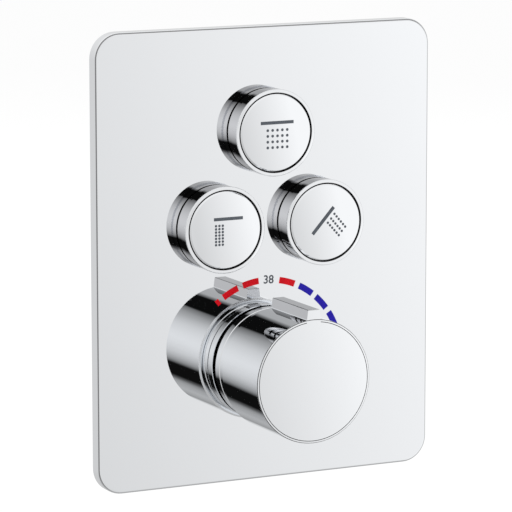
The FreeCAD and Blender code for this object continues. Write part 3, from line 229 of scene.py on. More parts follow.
def make_grain_group():
    """Grain of a cast, moulded or foamed surface: coarse and fine bumps and patches of tone."""
    group, source, sink = new_group(
        "grain", [("Tone", (0.5, 0.5, 0.5)), ("Deep tone", (0.3, 0.3, 0.3)), ("Size", 400.0),
                  ("Patches", 30.0)],
        [("Color", "Color"), ("Height", "Float"), ("Mask", "Float")])
    place = object_place(group)
    size = source.outputs["Size"]
    fine = noise(group, place, size, 5.0, Roughness=0.65)
    pits = add(group, "TexVoronoi", {"Vector": place, "Scale": size}).outputs["Distance"]
    patches = noise(group, place, source.outputs["Patches"], 3.0, Distortion=0.6)
    patches = calc(group, "MULTIPLY", smooth_step(group, patches, *PATCH_RANGE), PATCH_SHARE)
    speckle = smooth_step(group, fine, *SPECKLE_RANGE)
    mask = calc(group, "MULTIPLY_ADD", speckle, SPECKLE_SHARE, patches)
    colour = blend_colour(group, mask, source.outputs["Tone"], source.outputs["Deep tone"])
    height = calc(group, "MULTIPLY_ADD", pits, PIT_SHARE, fine)
    group.links.new(colour, sink.inputs["Color"])
    group.links.new(height, sink.inputs["Height"])
    group.links.new(mask, sink.inputs["Mask"])
    return group


DRIFT_SCALE = 60.0
DRIFT_RANGE = (0.35, 0.7)


def make_turning_group():
    """Fine grooves that a lathe or a drawing die leaves: the sine of x + y + z, with a drift."""
    group, source, sink = new_group("turning marks", [("Pitch", 2500.0), ("Unevenness", 0.5)],
                                    [("Height", "Float"), ("Mask", "Float")])
    x, y, z = object_axes(group)
    total = calc(group, "ADD", calc(group, "ADD", x, y), z)
    drift = noise(group, object_place(group), DRIFT_SCALE, 2.0)
    phase = calc(group, "MULTIPLY", total, source.outputs["Pitch"])
    phase = calc(group, "MULTIPLY_ADD", drift, source.outputs["Unevenness"], phase)
    group.links.new(calc(group, "SINE", phase), sink.inputs["Height"])
    group.links.new(smooth_step(group, drift, *DRIFT_RANGE), sink.inputs["Mask"])
    return group


POLISH = make_polish_group()
GRAIN = make_grain_group()
TURNING = make_turning_group()


# ---- painted shade, reflections and highlights on the chrome ------------------------------

# A zone ends this far beyond the edge that it follows, or nowhere.
NEAR = 0.03
FAR = 100.0


def squared_radius(tree, centre):
    """Squared distance from an axis along Y through a place on the front."""
    moved = add(tree, "VectorMath",
                {0: object_place(tree), 1: (centre[0] * MM, 0.0, centre[1] * MM)},
                operation="SUBTRACT").outputs[0]
    flat = add(tree, "VectorMath", {0: moved, 1: (1.0, 0.0, 1.0)}, operation="MULTIPLY").outputs[0]
    return add(tree, "VectorMath", {0: flat, 1: flat}, operation="DOT_PRODUCT").outputs["Value"]


def dome_height(tree, centre, radius):
    """Height of a shallow crown: minus the squared distance from its axis over twice its radius."""
    return calc(tree, "MULTIPLY", squared_radius(tree, centre), -0.5 / (radius * MM))


def ring_zone(centre, inner, outer, front, back):
    """Mask that is 1 between two radii round an axis along Y and between two planes across it."""
    def mask(tree):
        squared = squared_radius(tree, centre)
        round_axis = between(tree, squared, (inner * MM) ** 2, (outer * MM) ** 2)
        along_axis = between(tree, object_axes(tree)[1], front * MM, back * MM)
        return calc(tree, "MULTIPLY", round_axis, along_axis)
    return mask


def wing_zone(height, front):
    """Mask that is 1 above a height and behind a plane across Y."""
    def mask(tree):
        _, y, z = object_axes(tree)
        behind = calc(tree, "GREATER_THAN", y, front * MM)
        return calc(tree, "MULTIPLY", behind, calc(tree, "GREATER_THAN", z, height * MM))
    return mask


RIM_BLEND = 10.0
RIM_FAINT = 0.3


def rim_reflection_zone(first, last):
    """Mask of a painted dark reflection line on the plate's rounded edge, between two depths behind
    its front.

    It is full at the left and top, and faint at the right and bottom. They part at the plate's
    diagonal, where z is x times the height over the width."""
    def mask(tree):
        x, y, z = object_axes(tree)
        line = between(tree, y, (PLATE_FRONT + first) * MM, (PLATE_FRONT + last) * MM)
        diagonal = calc(tree, "MULTIPLY_ADD", x, -PLATE_HALF_HEIGHT / PLATE_HALF_WIDTH, z)
        share = smooth_step(tree, diagonal, -RIM_BLEND * MM, RIM_BLEND * MM, RIM_FAINT, 1.0)
        return calc(tree, "MULTIPLY", line, share)
    return mask


# ---- materials ----------------------------------------------------------------------------

def new_material(name, **constants):
    """Material with one Principled shader whose plain values are set on its own sockets."""
    material = bpy.data.materials.new(name)
    material.use_nodes = True
    shader = material.node_tree.nodes["Principled BSDF"]
    for label, value in constants.items():
        shader.inputs[label.replace("_", " ")].default_value = value
    return material, material.node_tree, shader


def bumped(tree, shader, height, distance):
    """Feeds a height, in units of a distance in metres, to the shader's normal."""
    bump = add(tree, "Bump", {"Height": height, "Distance": distance, "Strength": 1.0})
    tree.links.new(bump.outputs["Normal"], shader.inputs["Normal"])


CHROME = (0.93, 0.945, 0.965)
CHROME_DRIFT = 0.985
CHROME_DRIFT_SCALE = 14.0
WAVE_HEIGHT = 0.01
ZONE_BLUE = 1.02


def chrome(name, polish, crown=None, zones=()):
    """Polished chrome, with a shallow crown where it is given.

    Each zone is the colour and roughness of painted shade, a painted reflection or a painted
    highlight, and the mask that bounds it."""
    material, tree, shader = new_material(name, Metallic=1.0)
    marks = use_group(tree, POLISH, **polish)
    drift = noise(tree, object_place(tree), CHROME_DRIFT_SCALE, 2.0)
    colour = blend_colour(tree, drift, CHROME, tuple(value * CHROME_DRIFT for value in CHROME))
    rough = marks["Roughness"]
    # Each zone lays its painted shade, reflection or highlight over the chrome's own colour.
    for (shade, zone_rough), make_mask in zones:
        mask = make_mask(tree)
        colour = blend_colour(tree, mask, colour, (shade, shade, shade * ZONE_BLUE))
        rough = blend_value(tree, mask, rough, zone_rough)
    tree.links.new(colour, shader.inputs["Base Color"])
    tree.links.new(rough, shader.inputs["Roughness"])
    height = calc(tree, "MULTIPLY", marks["Height"], WAVE_HEIGHT * MM)
    if crown:
        height = calc(tree, "ADD", height, dome_height(tree, *crown))
    bumped(tree, shader, height, 1.0)
    return material


def grained(name, tone, deep, size, patches, depth, rough, rough_spread=0.1, **constants):
    """Cast, moulded or foamed material with grain, its depth in millimetres, and patches."""
    material, tree, shader = new_material(name, **constants)
    grain = use_group(tree, GRAIN, Tone=tone, Deep_tone=deep, Size=size, Patches=patches)
    tree.links.new(grain["Color"], shader.inputs["Base Color"])
    spread = calc(tree, "MULTIPLY_ADD", grain["Mask"], rough_spread, rough)
    tree.links.new(spread, shader.inputs["Roughness"])
    bumped(tree, shader, grain["Height"], depth * MM)
    return material


TURNING_DRIFT = 2.0
TURNING_ROUGH_SPREAD = 0.12


def turned_metal(name, tone, deep, pitch, depth, rough):
    """Turned or drawn metal: grooves, their depth in millimetres, over a tone that drifts."""
    material, tree, shader = new_material(name, Metallic=1.0)
    marks = use_group(tree, TURNING, Pitch=pitch, Unevenness=TURNING_DRIFT)
    tree.links.new(blend_colour(tree, marks["Mask"], tone, deep), shader.inputs["Base Color"])
    spread = calc(tree, "MULTIPLY_ADD", marks["Mask"], TURNING_ROUGH_SPREAD, rough)
    tree.links.new(spread, shader.inputs["Roughness"])
    bumped(tree, shader, marks["Height"], depth * MM)
    return material


ZINC_LIGHT = (0.62, 0.64, 0.66)
ZINC_DARK = (0.42, 0.45, 0.47)
ZINC_CRYSTALS = 130.0
ZINC_ROUGH = 0.32
ZINC_ROUGH_SPREAD = 0.18
ZINC_DEPTH = 0.02


def galvanised(name):
    """Zinc-coated sheet: crystals of slightly different grey with soft borders."""
    material, tree, shader = new_material(name, Metallic=1.0)
    cells = add(tree, "TexVoronoi", {"Vector": object_place(tree), "Scale": ZINC_CRYSTALS,
                                     "Randomness": 1.0})
    shade = add(tree, "SeparateXYZ", {"Vector": cells.outputs["Color"]}).outputs[0]
    tree.links.new(blend_colour(tree, shade, ZINC_LIGHT, ZINC_DARK), shader.inputs["Base Color"])
    spread = calc(tree, "MULTIPLY_ADD", shade, ZINC_ROUGH_SPREAD, ZINC_ROUGH)
    tree.links.new(spread, shader.inputs["Roughness"])
    bumped(tree, shader, cells.outputs["Distance"], ZINC_DEPTH * MM)
    return material


INK_DEEPER = 0.8


def ink(name, tone):
    """Printed ink: a flat tone with the slight unevenness of a screen print."""
    deep = tuple(value * INK_DEEPER for value in tone)
    return grained(name, tone, deep, size=3000.0, patches=300.0, depth=0.004, rough=0.48,
                   Specular_IOR_Level=0.15)


PLATE_POLISH = {"Gloss": 0.012, "Smear": 0.012, "Scratch": 0.015, "Wave": 0.6}
TRIM_POLISH = {"Gloss": 0.012, "Smear": 0.015, "Scratch": 0.02, "Wave": 0.4}
CAP_CROWN = 400.0
KNOB_CROWN = 1300.0

# Shade and roughness of the painted zones: painted shade in gaps, bores, grooves, the seam and
# at the knob's face edge, painted darker reflection on the plate's rim, the rings' outer walls
# and the knob's wing, and a rougher chrome brightened to a painted highlight on the knob's bevel.
GAP_PAINTED_SHADE = (0.006, 0.5)
RIM_PAINTED_REFLECTION = (0.33, 0.02)
RING_WALL_PAINTED_REFLECTION = (0.74, 0.02)
RING_BORE_PAINTED_SHADE = (0.6, 0.3)
WING_PAINTED_REFLECTION = (0.63, 0.02)
BEVEL_SOFT_PAINTED_HIGHLIGHT = (1.0, 0.25)
FACE_EDGE_PAINTED_SHADE = (0.04, 0.3)
GROOVE_PAINTED_SHADE = (0.15, 0.2)

# How deep behind the plate's front its painted dark reflection line starts and ends, how far the
# painted shade of a cap's skirt reaches up its edge, and how high above the knob the painted
# reflection grey of its wing is counted from.
RIM_DEPTHS = (0.06, 0.4)
CAP_SHADE = 0.2
WING_FOOT = 0.1

MATERIALS = {
    # The plate's chrome carries a painted dark reflection line along its rounded edge.
    "chrome_plate": chrome("mirror chrome plate", PLATE_POLISH,
                           zones=[(RIM_PAINTED_REFLECTION, rim_reflection_zone(*RIM_DEPTHS))]),
    "black_plastic": grained("black moulded plastic", (0.012, 0.012, 0.013), (0.02, 0.02, 0.022),
                             size=1600.0, patches=60.0, depth=0.03, rough=0.42),
    "white_plastic": grained("white moulded plastic", (0.78, 0.77, 0.73), (0.7, 0.69, 0.65),
                             size=1400.0, patches=40.0, depth=0.02, rough=0.38),
    "foam_rubber": grained("foam rubber", (0.03, 0.03, 0.032), (0.055, 0.055, 0.06),
                           size=900.0, patches=90.0, depth=0.4, rough=0.85),
    "seal_rubber": grained("seal rubber", (0.015, 0.015, 0.016), (0.028, 0.028, 0.03),
                           size=1500.0, patches=80.0, depth=0.03, rough=0.5),
    "cast_brass": grained("cast brass", (0.66, 0.47, 0.2), (0.5, 0.33, 0.13), size=700.0,
                          patches=35.0, depth=0.25, rough=0.38, rough_spread=0.2, Metallic=1.0),
    "turned_brass": turned_metal("turned brass", (0.82, 0.62, 0.3), (0.7, 0.5, 0.22),
                                 pitch=9000.0, depth=0.008, rough=0.2),
    "copper": turned_metal("drawn copper", (0.86, 0.46, 0.3), (0.7, 0.33, 0.2),
                           pitch=6000.0, depth=0.006, rough=0.22),
    "steel": turned_metal("turned steel", (0.62, 0.62, 0.63), (0.5, 0.5, 0.51),
                          pitch=9000.0, depth=0.008, rough=0.25),
    "spring_steel": turned_metal("spring wire", (0.5, 0.5, 0.52), (0.38, 0.38, 0.4),
                                 pitch=12000.0, depth=0.004, rough=0.28),
    "galvanised_steel": galvanised("galvanised sheet"),
}


def cap_chrome(side, centre):
    """Chrome of a button's disc, with painted shade down its skirt, in the gap round it."""
    skirt = ring_zone(centre, CAP_RADIUS - CAP_SHADE, FAR, CAP_FRONT + CAP_EDGE - CAP_SHADE, FAR)
    return chrome("button chrome " + side, TRIM_POLISH, (centre, CAP_CROWN), [(GAP_PAINTED_SHADE, skirt)])


def ring_chrome(side, centre):
    """Chrome of a button's ring: painted reflection grey on its outer wall, and painted shade in
    its bore and on its back in the plate's gap.
    """
    wall = ring_zone(centre, RING_RADIUS - RING_STEP - NEAR, FAR, RING_FRONT + RING_ROUND, FAR)
    bore = ring_zone(centre, 0.0, CAP_RADIUS + CAP_GAP + NEAR, -FAR, FAR)
    back = ring_zone(centre, 0.0, FAR, RING_BACK - NEAR, FAR)
    return chrome("ring chrome " + side, TRIM_POLISH,
                  zones=[(RING_WALL_PAINTED_REFLECTION, wall), (RING_BORE_PAINTED_SHADE, bore), (GAP_PAINTED_SHADE, back)])


def knob_chrome():
    """Chrome of the knob: painted reflection grey on its wing, a painted highlight on its softer
    back bevel, and painted shade at its face's edge and in the seam in its face.
    """
    wing = wing_zone(KNOB_CENTRE[1] + KNOB_RADIUS + WING_FOOT, KNOB_FRONT + NEAR)
    bevel = ring_zone(KNOB_CENTRE, KNOB_RADIUS - KNOB_BEVEL - NEAR, KNOB_RADIUS + NEAR,
                      KNOB_BACK - KNOB_BEVEL, FAR)
    edge = ring_zone(KNOB_CENTRE, KNOB_RADIUS - KNOB_EDGE + NEAR, KNOB_RADIUS + NEAR,
                     -FAR, KNOB_FRONT + KNOB_EDGE - NEAR)
    seam = ring_zone(KNOB_CENTRE, SEAM_RADIUS - SEAM_WIDTH / 2 - NEAR,
                     SEAM_RADIUS + SEAM_WIDTH / 2 + NEAR,
                     KNOB_FRONT + NEAR, KNOB_FRONT + SEAM_DEPTH + NEAR)
    return chrome("knob chrome", TRIM_POLISH, (KNOB_CENTRE, KNOB_CROWN),
                  [(WING_PAINTED_REFLECTION, wing), (BEVEL_SOFT_PAINTED_HIGHLIGHT, bevel), (FACE_EDGE_PAINTED_SHADE, edge), (GAP_PAINTED_SHADE, seam)])


def collar_chrome():
    """Chrome of the collar: painted shade on the front wall of its groove and on its back in the
    plate's gap.
    """
    groove = ring_zone(KNOB_CENTRE, 0.0, COLLAR_RADIUS - NEAR, GROOVE_BACK - GROOVE_WIDTH,
                       GROOVE_BACK)
    back = ring_zone(KNOB_CENTRE, 0.0, FAR, COLLAR_BACK - NEAR, FAR)
    return chrome("collar chrome", TRIM_POLISH, zones=[(GROOVE_PAINTED_SHADE, groove), (GAP_PAINTED_SHADE, back)])


# Nodes whose chrome has zones of its own: painted shade, painted reflection grey and a painted
# highlight.
OWN_CHROME = {"knob_shell": knob_chrome(), "knob_collar": collar_chrome()}
for side, centre in BUTTON_CENTRES.items():
    OWN_CHROME["button_cap_" + side] = cap_chrome(side, centre)
    OWN_CHROME["flow_ring_" + side] = ring_chrome(side, centre)

RED_INK = ink("red ink", (0.66, 0.002, 0.01))
BLUE_INK = ink("blue ink", (0.015, 0.008, 0.36))
GREY_INK = ink("grey ink", (0.085, 0.095, 0.11))

SHARP_ANGLE = math.radians(28.0)
MERGE = 2e-6
NORMAL_WEIGHT = 50


def finish_node(name, node):
    """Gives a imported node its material, and smooth shading between its sharp edges."""
    material = OWN_CHROME[name] if name in OWN_CHROME else MATERIALS[SLOT_OF[name]]
    for slot in node.material_slots:
        slot.material = material
    mesh = node.data
    if "custom_normal" in mesh.attributes:
        mesh.attributes.remove(mesh.attributes["custom_normal"])
    mesh.polygons.foreach_set("use_smooth", np.ones(len(mesh.polygons), dtype=bool))
    weld = node.modifiers.new("weld", "WELD")
    weld.merge_threshold = MERGE
    split = node.modifiers.new("sharp edges", "EDGE_SPLIT")
    split.split_angle = SHARP_ANGLE
    weighted = node.modifiers.new("normals", "WEIGHTED_NORMAL")
    weighted.mode = "FACE_AREA"
    weighted.weight = NORMAL_WEIGHT
    weighted.keep_sharp = False


for node_name, node_object in NODES.items():
    finish_node(node_name, node_object)


# ---- new pieces ---------------------------------------------------------------------------

def make_piece(name, points, faces, material, body):
    """Object at the origin from points in millimetres, riding on a body."""
    mesh = bpy.data.meshes.new(name)
    faces = [np.asarray(face).tolist() for face in faces]
    mesh.from_pydata((np.asarray(points) * MM).tolist(), [], faces)
    mesh.validate()
    mesh.update()
    piece = bpy.data.objects.new(name, mesh)
    bpy.context.scene.collection.objects.link(piece)
    mesh.materials.append(material)
    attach(piece, body)
    return piece


def make_print(name, points, faces, material, body, slot):
    """Printed piece. The chrome round it doesn't mirror it."""
    make_piece(name, points, faces, material, body).visible_glossy = False


INK_PROUD = 0.03
INK_SUNK = 0.02


def flat_slab(outline, front):
    """Closed thin plate of ink: an (x, z) outline once before a surface and once behind it.

    The two copies are the front and back faces, and each step of the outline is a side face."""
    area = np.sum(outline[:, 0] * np.roll(outline[:, 1], -1)
                  - outline[:, 1] * np.roll(outline[:, 0], -1))
    if area < 0:
        outline = outline[::-1]
    count = len(outline)
    layers = [np.column_stack([outline[:, 0], np.full(count, y), outline[:, 1]])
              for y in (front - INK_PROUD, front + INK_SUNK)]
    here = np.arange(count)
    after = np.roll(here, -1)
    sides = np.column_stack([here, here + count, after + count, after])
    return np.vstack(layers), [here, (here + count)[::-1], *sides]


def join_slabs(slabs):
    """Several slabs as one set of points and faces."""
    points = []
    faces = []
    start = 0
    for slab_points, slab_faces in slabs:
        points.append(slab_points)
        faces += [face + start for face in slab_faces]
        start += len(slab_points)
    return np.vstack(points), faces


ARC_POINTS = 15
DOT_POINTS = 14


def arc_band(centre, inner, outer, start, end):
    """Outline of a piece of a ring, between angles in degrees clockwise from up.

    A point at an angle is the centre plus the radius times (sine, cosine): along the outer
    radius first, and then back along the inner one."""
    angles = np.radians(np.linspace(start, end, ARC_POINTS))
    unit = np.column_stack([np.sin(angles), np.cos(angles)])
    return np.vstack([centre + outer * unit, (centre + inner * unit)[::-1]])


def disc(centre, radius):
    """Outline of a dot: the centre plus the radius times (cosine, sine) of equal steps."""
    angles = 2.0 * np.pi * np.arange(DOT_POINTS) / DOT_POINTS
    return centre + radius * np.column_stack([np.cos(angles), np.sin(angles)])


def bar(first, second, width):
    """Outline of a straight bar: both its ends plus and minus half its width across it."""
    along = (second - first) / np.linalg.norm(second - first)
    across = np.array([-along[1], along[0]]) * width / 2
    return np.array([first + across, first - across, second - across, second + across])


# ---- printed scale round the knob ---------------------------------------------------------

SCALE_INNER = 37.4
SCALE_OUTER = 40.4

# Where each dash starts and ends, in degrees clockwise from up.
RED_DASHES = ((-40.3, -37.4), (-33.8, -21.5), (-17.6, -5.4), (10.3, 22.4))
BLUE_DASHES = ((26.2, 38.0), (41.6, 53.3), (56.9, 68.8))


def make_dashes(name, dashes, material, slot):
    """Dashes of one colour, printed on the plate."""
    centre = np.array(KNOB_CENTRE)
    bands = [flat_slab(arc_band(centre, SCALE_INNER, SCALE_OUTER, *dash), PLATE_FRONT)
             for dash in dashes]
    make_print(name, *join_slabs(bands), material, "valve", slot)


make_dashes("red_dashes", RED_DASHES, RED_INK, "red_ink")
make_dashes("blue_dashes", BLUE_DASHES, BLUE_INK, "blue_ink")

DIGIT_HEIGHT = 4.0
DIGIT_RADIUS = 37.1
DIGIT_TURN = math.radians(2.2)
DIGIT_WEIGHT = 0.018
DIGIT_SMOOTHNESS = 8
DIGIT_THICKNESS = 0.01


def number_outline():
    """Points and faces of the number 38 in the built-in letters, one unit high or so."""
    curve = bpy.data.curves.new("number outline", "FONT")
    curve.body = "38"
    curve.size = 1.0
    curve.resolution_u = DIGIT_SMOOTHNESS
    curve.extrude = DIGIT_THICKNESS
    curve.offset = DIGIT_WEIGHT
    text = bpy.data.objects.new("number outline", curve)
    bpy.context.scene.collection.objects.link(text)
    bpy.context.view_layer.update()
    evaluated = text.evaluated_get(bpy.context.evaluated_depsgraph_get())
    mesh = bpy.data.meshes.new_from_object(evaluated)
    bpy.data.objects.remove(text)
    points = np.zeros(len(mesh.vertices) * 3)
    mesh.vertices.foreach_get("co", points)
    faces = [list(face.vertices) for face in mesh.polygons]
    bpy.data.meshes.remove(mesh)
    return points.reshape(-1, 3), faces


def make_number():
    """The number on the scale: scaled to its height, moved out along the radius and turned.

    A point that is across and above the knob's centre goes to (across cos + above sin,
    above cos - across sin) of the turn. Its front or back side goes to the ink's."""
    points, faces = number_outline()
    lowest = points.min(axis=0)
    span = points.max(axis=0) - lowest
    scale = DIGIT_HEIGHT / span[1]
    across = (points[:, 0] - lowest[0] - span[0] / 2) * scale
    above = (points[:, 1] - lowest[1]) * scale + DIGIT_RADIUS
    depth = np.where(points[:, 2] > 0, PLATE_FRONT - INK_PROUD, PLATE_FRONT + INK_SUNK)
    placed = np.column_stack([
        KNOB_CENTRE[0] + across * math.cos(DIGIT_TURN) + above * math.sin(DIGIT_TURN), depth,
        KNOB_CENTRE[1] - across * math.sin(DIGIT_TURN) + above * math.cos(DIGIT_TURN)])
    make_print("scale_number", placed, faces, GREY_INK, "valve", "grey_ink")


make_number()


# ---- pictograms on the buttons ------------------------------------------------------------

BAR_WIDTH = 1.5
SLANTED_BAR_WIDTH = 1.7
WIDE_DOT = 0.68
NARROW_DOT = 0.62


def pictogram(side, bar_ends, bar_width, dots, dot_radius):
    """A bar for the shower and dots for its water, placed from the button's centre."""
    centre = np.array(BUTTON_CENTRES[side])
    first, second = np.array(bar_ends) + centre
    slabs = [flat_slab(bar(first, second, bar_width), CAP_FRONT)]
    slabs += [flat_slab(disc(dot, dot_radius), CAP_FRONT) for dot in dots + centre]
    make_print("pictogram_" + side, *join_slabs(slabs), GREY_INK, "push_" + side, "grey_ink")


def dot_grid(x_start, x_end, columns, z_start, z_end, rows):
    """Dots in columns and rows at equal steps between two corners."""
    across, down = np.meshgrid(np.linspace(x_start, x_end, columns),
                               np.linspace(z_start, z_end, rows))
    return np.column_stack([across.ravel(), down.ravel()])


def dot_row(first, second, count):
    """Dots at equal steps along a line."""
    return np.linspace(first, second, count)


pictogram("top", ((-7.9, 4.75), (8.8, 4.75)), BAR_WIDTH,
          dot_grid(-4.35, 5.53, 5, 1.3, -6.6, 4), WIDE_DOT)
pictogram("left", ((-6.0, 5.25), (8.6, 5.25)), BAR_WIDTH,
          dot_grid(-4.95, -1.56, 3, 2.25, -6.45, 7), NARROW_DOT)
pictogram("right", ((-6.96, -5.03), (3.93, 6.98)), SLANTED_BAR_WIDTH,
          np.vstack([dot_row((4.3, 3.73), (9.88, -2.61), 6),
                     dot_row((2.6, 1.65), (8.12, -4.49), 6),
                     dot_row((0.89, -0.19), (6.57, -6.35), 6)]), NARROW_DOT)


# ---- threads in the pipe connections ------------------------------------------------------

THREAD_PITCH = 1.814
THREAD_WALL = 9.32
THREAD_DEPTH = 0.5
THREAD_LENGTH = 13.4
THREAD_INSET = 0.3
THREAD_RUN_IN = 0.25
STEPS_A_TURN = 48

# The ridge's profile: places along the axis in pitches, and heights as shares of the depth.
THREAD_PROFILE = ((-0.42, 0.0), (-0.07, 1.0), (0.07, 1.0), (0.42, 0.0))


def internal_thread(name, mouth, direction):
    """Ridge along a helix on a bore's wall: a trapezium carried round the axis.

    After t turns its point is the mouth, minus the direction times the inset plus the pitch
    times t, plus the radius times the cosine and sine of 2 pi t along the two axes across the
    direction. The radius is the wall's less the ridge's height, which grows from nothing over
    the first quarter turn and fades over the last."""
    turns = (THREAD_LENGTH - THREAD_PITCH) / THREAD_PITCH
    steps = int(turns * STEPS_A_TURN)
    turn = np.linspace(0.0, turns, steps)
    cosine = np.cos(2.0 * np.pi * turn)[:, None]
    sine = np.sin(2.0 * np.pi * turn)[:, None]
    ends = np.minimum(1.0, np.minimum(turn, turns - turn) / THREAD_RUN_IN)
    first = np.cross(direction, (0.0, 1.0, 0.0))
    second = np.cross(direction, first)
    lines = []
    for along, rise in THREAD_PROFILE:
        radius = (THREAD_WALL - THREAD_DEPTH * rise * ends)[:, None]
        depth = (THREAD_INSET + THREAD_PITCH * (turn + 0.5 + along))[:, None]
        lines.append(mouth - depth * direction + radius * (cosine * first + sine * second))
    points = np.stack(lines, axis=1).reshape(-1, 3)
    count = len(THREAD_PROFILE)
    here = np.arange(steps - 1)[:, None] * count + np.arange(count)
    after = np.arange(steps - 1)[:, None] * count + np.roll(np.arange(count), -1)
    sides = np.stack([here, after, after + count, here + count], axis=2).reshape(-1, 4)
    faces = [*sides, np.arange(count)[::-1], np.arange((steps - 1) * count, steps * count)]
    turn_outwards(make_piece(name, points, faces, MATERIALS["turned_brass"], "valve"))


def turn_outwards(piece):
    """Turns every face of a closed mesh outwards."""
    work = bmesh.new()
    work.from_mesh(piece.data)
    bmesh.ops.recalc_face_normals(work, faces=work.faces)
    work.to_mesh(piece.data)
    work.free()


for mount in frame["record"]["mounts"]:
    if mount["kind"] == "threaded_hole":
        outward = np.array(mount["axis"], dtype=float)
        mouth = np.array(mount["pos_m"]) / MM + outward * mount["dims"]["length_mm"] / 2
        internal_thread(mount["name"] + "_thread", mouth, outward)


# ---- camera -------------------------------------------------------------------------------

IMAGE_WIDTH = 512
SENSOR_WIDTH = 36.0
FOCAL_PIXELS = 3457.0
CAMERA_PLACE = (-698.5, -1411.1, 261.8)
CAMERA_YAW = math.radians(26.269)
CAMERA_PITCH = math.radians(9.505)
CAMERA_ROLL = math.radians(-0.064)


def make_camera():
    """Camera of the photograph: yaw from +Y to the right, pitch downwards, then roll."""
    lens = bpy.data.cameras.new("camera")
    lens.sensor_width = SENSOR_WIDTH
    lens.lens = FOCAL_PIXELS * SENSOR_WIDTH / IMAGE_WIDTH
    lens.clip_start = 0.05
    lens.clip_end = 50.0
    camera = bpy.data.objects.new("camera", lens)
    bpy.context.scene.collection.objects.link(camera)
    forward = Vector((math.sin(CAMERA_YAW) * math.cos(CAMERA_PITCH),
                      math.cos(CAMERA_YAW) * math.cos(CAMERA_PITCH), -math.sin(CAMERA_PITCH)))
    right = forward.cross(Vector((0.0, 0.0, 1.0))).normalized()
    up = right.cross(forward)
    rolled_right = right * math.cos(CAMERA_ROLL) + up * math.sin(CAMERA_ROLL)
    rolled_up = up * math.cos(CAMERA_ROLL) - right * math.sin(CAMERA_ROLL)
    turn = Matrix((rolled_right, rolled_up, -forward)).transposed()
    camera.matrix_world = Matrix.Translation(Vector(CAMERA_PLACE) * MM) @ turn.to_4x4()
    return camera


bpy.context.scene.camera = make_camera()


# ---- floor, lamps and the room that the chrome mirrors ------------------------------------

FLOOR_HEIGHT = -0.30
FLOOR_REACH = 6.0
FLOOR_GREY = 0.82
FLOOR_GLOW = 0.8


def make_floor():
    """Pale floor: lit and shadowed by the lamps, and left out of mirror reflections."""
    corners = [(-1, -1), (1, -1), (1, 1), (-1, 1)]
    mesh = bpy.data.meshes.new("floor")
    mesh.from_pydata([(x * FLOOR_REACH, y * FLOOR_REACH, FLOOR_HEIGHT) for x, y in corners], [],
                     [(0, 1, 2, 3)])
    floor = bpy.data.objects.new("floor", mesh)
    bpy.context.scene.collection.objects.link(floor)
    material = bpy.data.materials.new("pale floor")
    material.use_nodes = True
    tree = material.node_tree
    tree.nodes.clear()
    path = add(tree, "LightPath").outputs
    matt = add(tree, "BsdfDiffuse", {"Color": (FLOOR_GREY, FLOOR_GREY, FLOOR_GREY, 1.0)})
    glow = add(tree, "Emission", {"Color": (1.0, 1.0, 1.0, 1.0), "Strength": 1.0})
    shown = calc(tree, "MULTIPLY", path["Is Camera Ray"], FLOOR_GLOW)
    lit = add(tree, "MixShader", {0: shown, 1: matt.outputs[0], 2: glow.outputs[0]})
    clear = add(tree, "BsdfTransparent")
    mixed = add(tree, "MixShader",
                {0: path["Is Glossy Ray"], 1: lit.outputs[0], 2: clear.outputs[0]})
    add(tree, "OutputMaterial", {"Surface": mixed.outputs[0]})
    mesh.materials.append(material)


make_floor()

# What is mirrored twice, such as the room in a round wall beside the plate, sees this ring round
# straight ahead of the plate: degrees from the right, turning upwards, and brightness. It has two
# dark gaps, one above and one below at the left. A face that mirrors the room once sees it pale.
ROOM_RING = (
    (-180, 0.80), (-168, 0.72), (-160, 0.63), (-152, 0.49), (-144, 0.31), (-136, 0.005),
    (-110, 0.005), (-104, 0.10), (-98, 0.28), (-92, 0.38), (-76, 0.47), (-66, 0.42),
    (-56, 0.34), (-46, 0.24), (-36, 0.2), (-12, 0.6), (0, 0.64), (32, 0.55), (48, 0.45),
    (66, 0.43), (71, 0.2), (76, 0.004), (107, 0.004), (110, 0.16), (120, 0.33), (136, 0.57),
    (144, 0.67), (152, 0.73), (162, 0.79), (172, 0.82), (180, 0.80))

# The world counts light that the camera sees straight as 1, mirrored once as 2, twice as 3.
MIRRORED_ONCE = 2.5

# Brightness as a level straight ahead and what it gains to the right and upwards.
PALE_ROOM = (0.78, 0.1, 0.12)
SIDE_WALLS = (0.70, 0.0, 0.22)
SOFT_LIGHT = (0.92, 0.0, 0.25)
GAP_STRENGTH = (0.62, -0.42, 0.17)

# Screen at the right and below, which the flat faces show to the camera. Its gains are for the
# slopes across and above straight ahead, and so are the places where it starts.
SCREEN = (0.216, 1.52, 0.57)
SCREEN_LEVELS = (0.70, 1.0)
SCREEN_ACROSS = (0.30, 0.40)
SCREEN_BELOW = (-0.05, 0.02)
LEAST_AHEAD = 0.05

# Degrees off straight ahead: the room's bright middle, its side walls, and a thin dark gap that
# lines rounded edges.
MIDDLE_FADE = (14.0, 4.0)
MIDDLE_LEVEL = 0.86
SIDE_FADE = (48.0, 75.0)
GAP_STARTS = (52.0, 54.0)
GAP_ENDS = (60.0, 58.0)


def graded(tree, grade, rightward, upward):
    """A level plus its gains times how far to the right and upwards a direction points."""
    level, right_gain, up_gain = grade
    raised = calc(tree, "MULTIPLY_ADD", rightward, right_gain, level)
    return calc(tree, "MULTIPLY_ADD", upward, up_gain, raised)


def fade(tree, ahead, angles):
    """From 0 to 1 between two angles off straight ahead, whose cosine is given."""
    start, end = (math.cos(math.radians(angle)) for angle in angles)
    return smooth_step(tree, ahead, start, end)


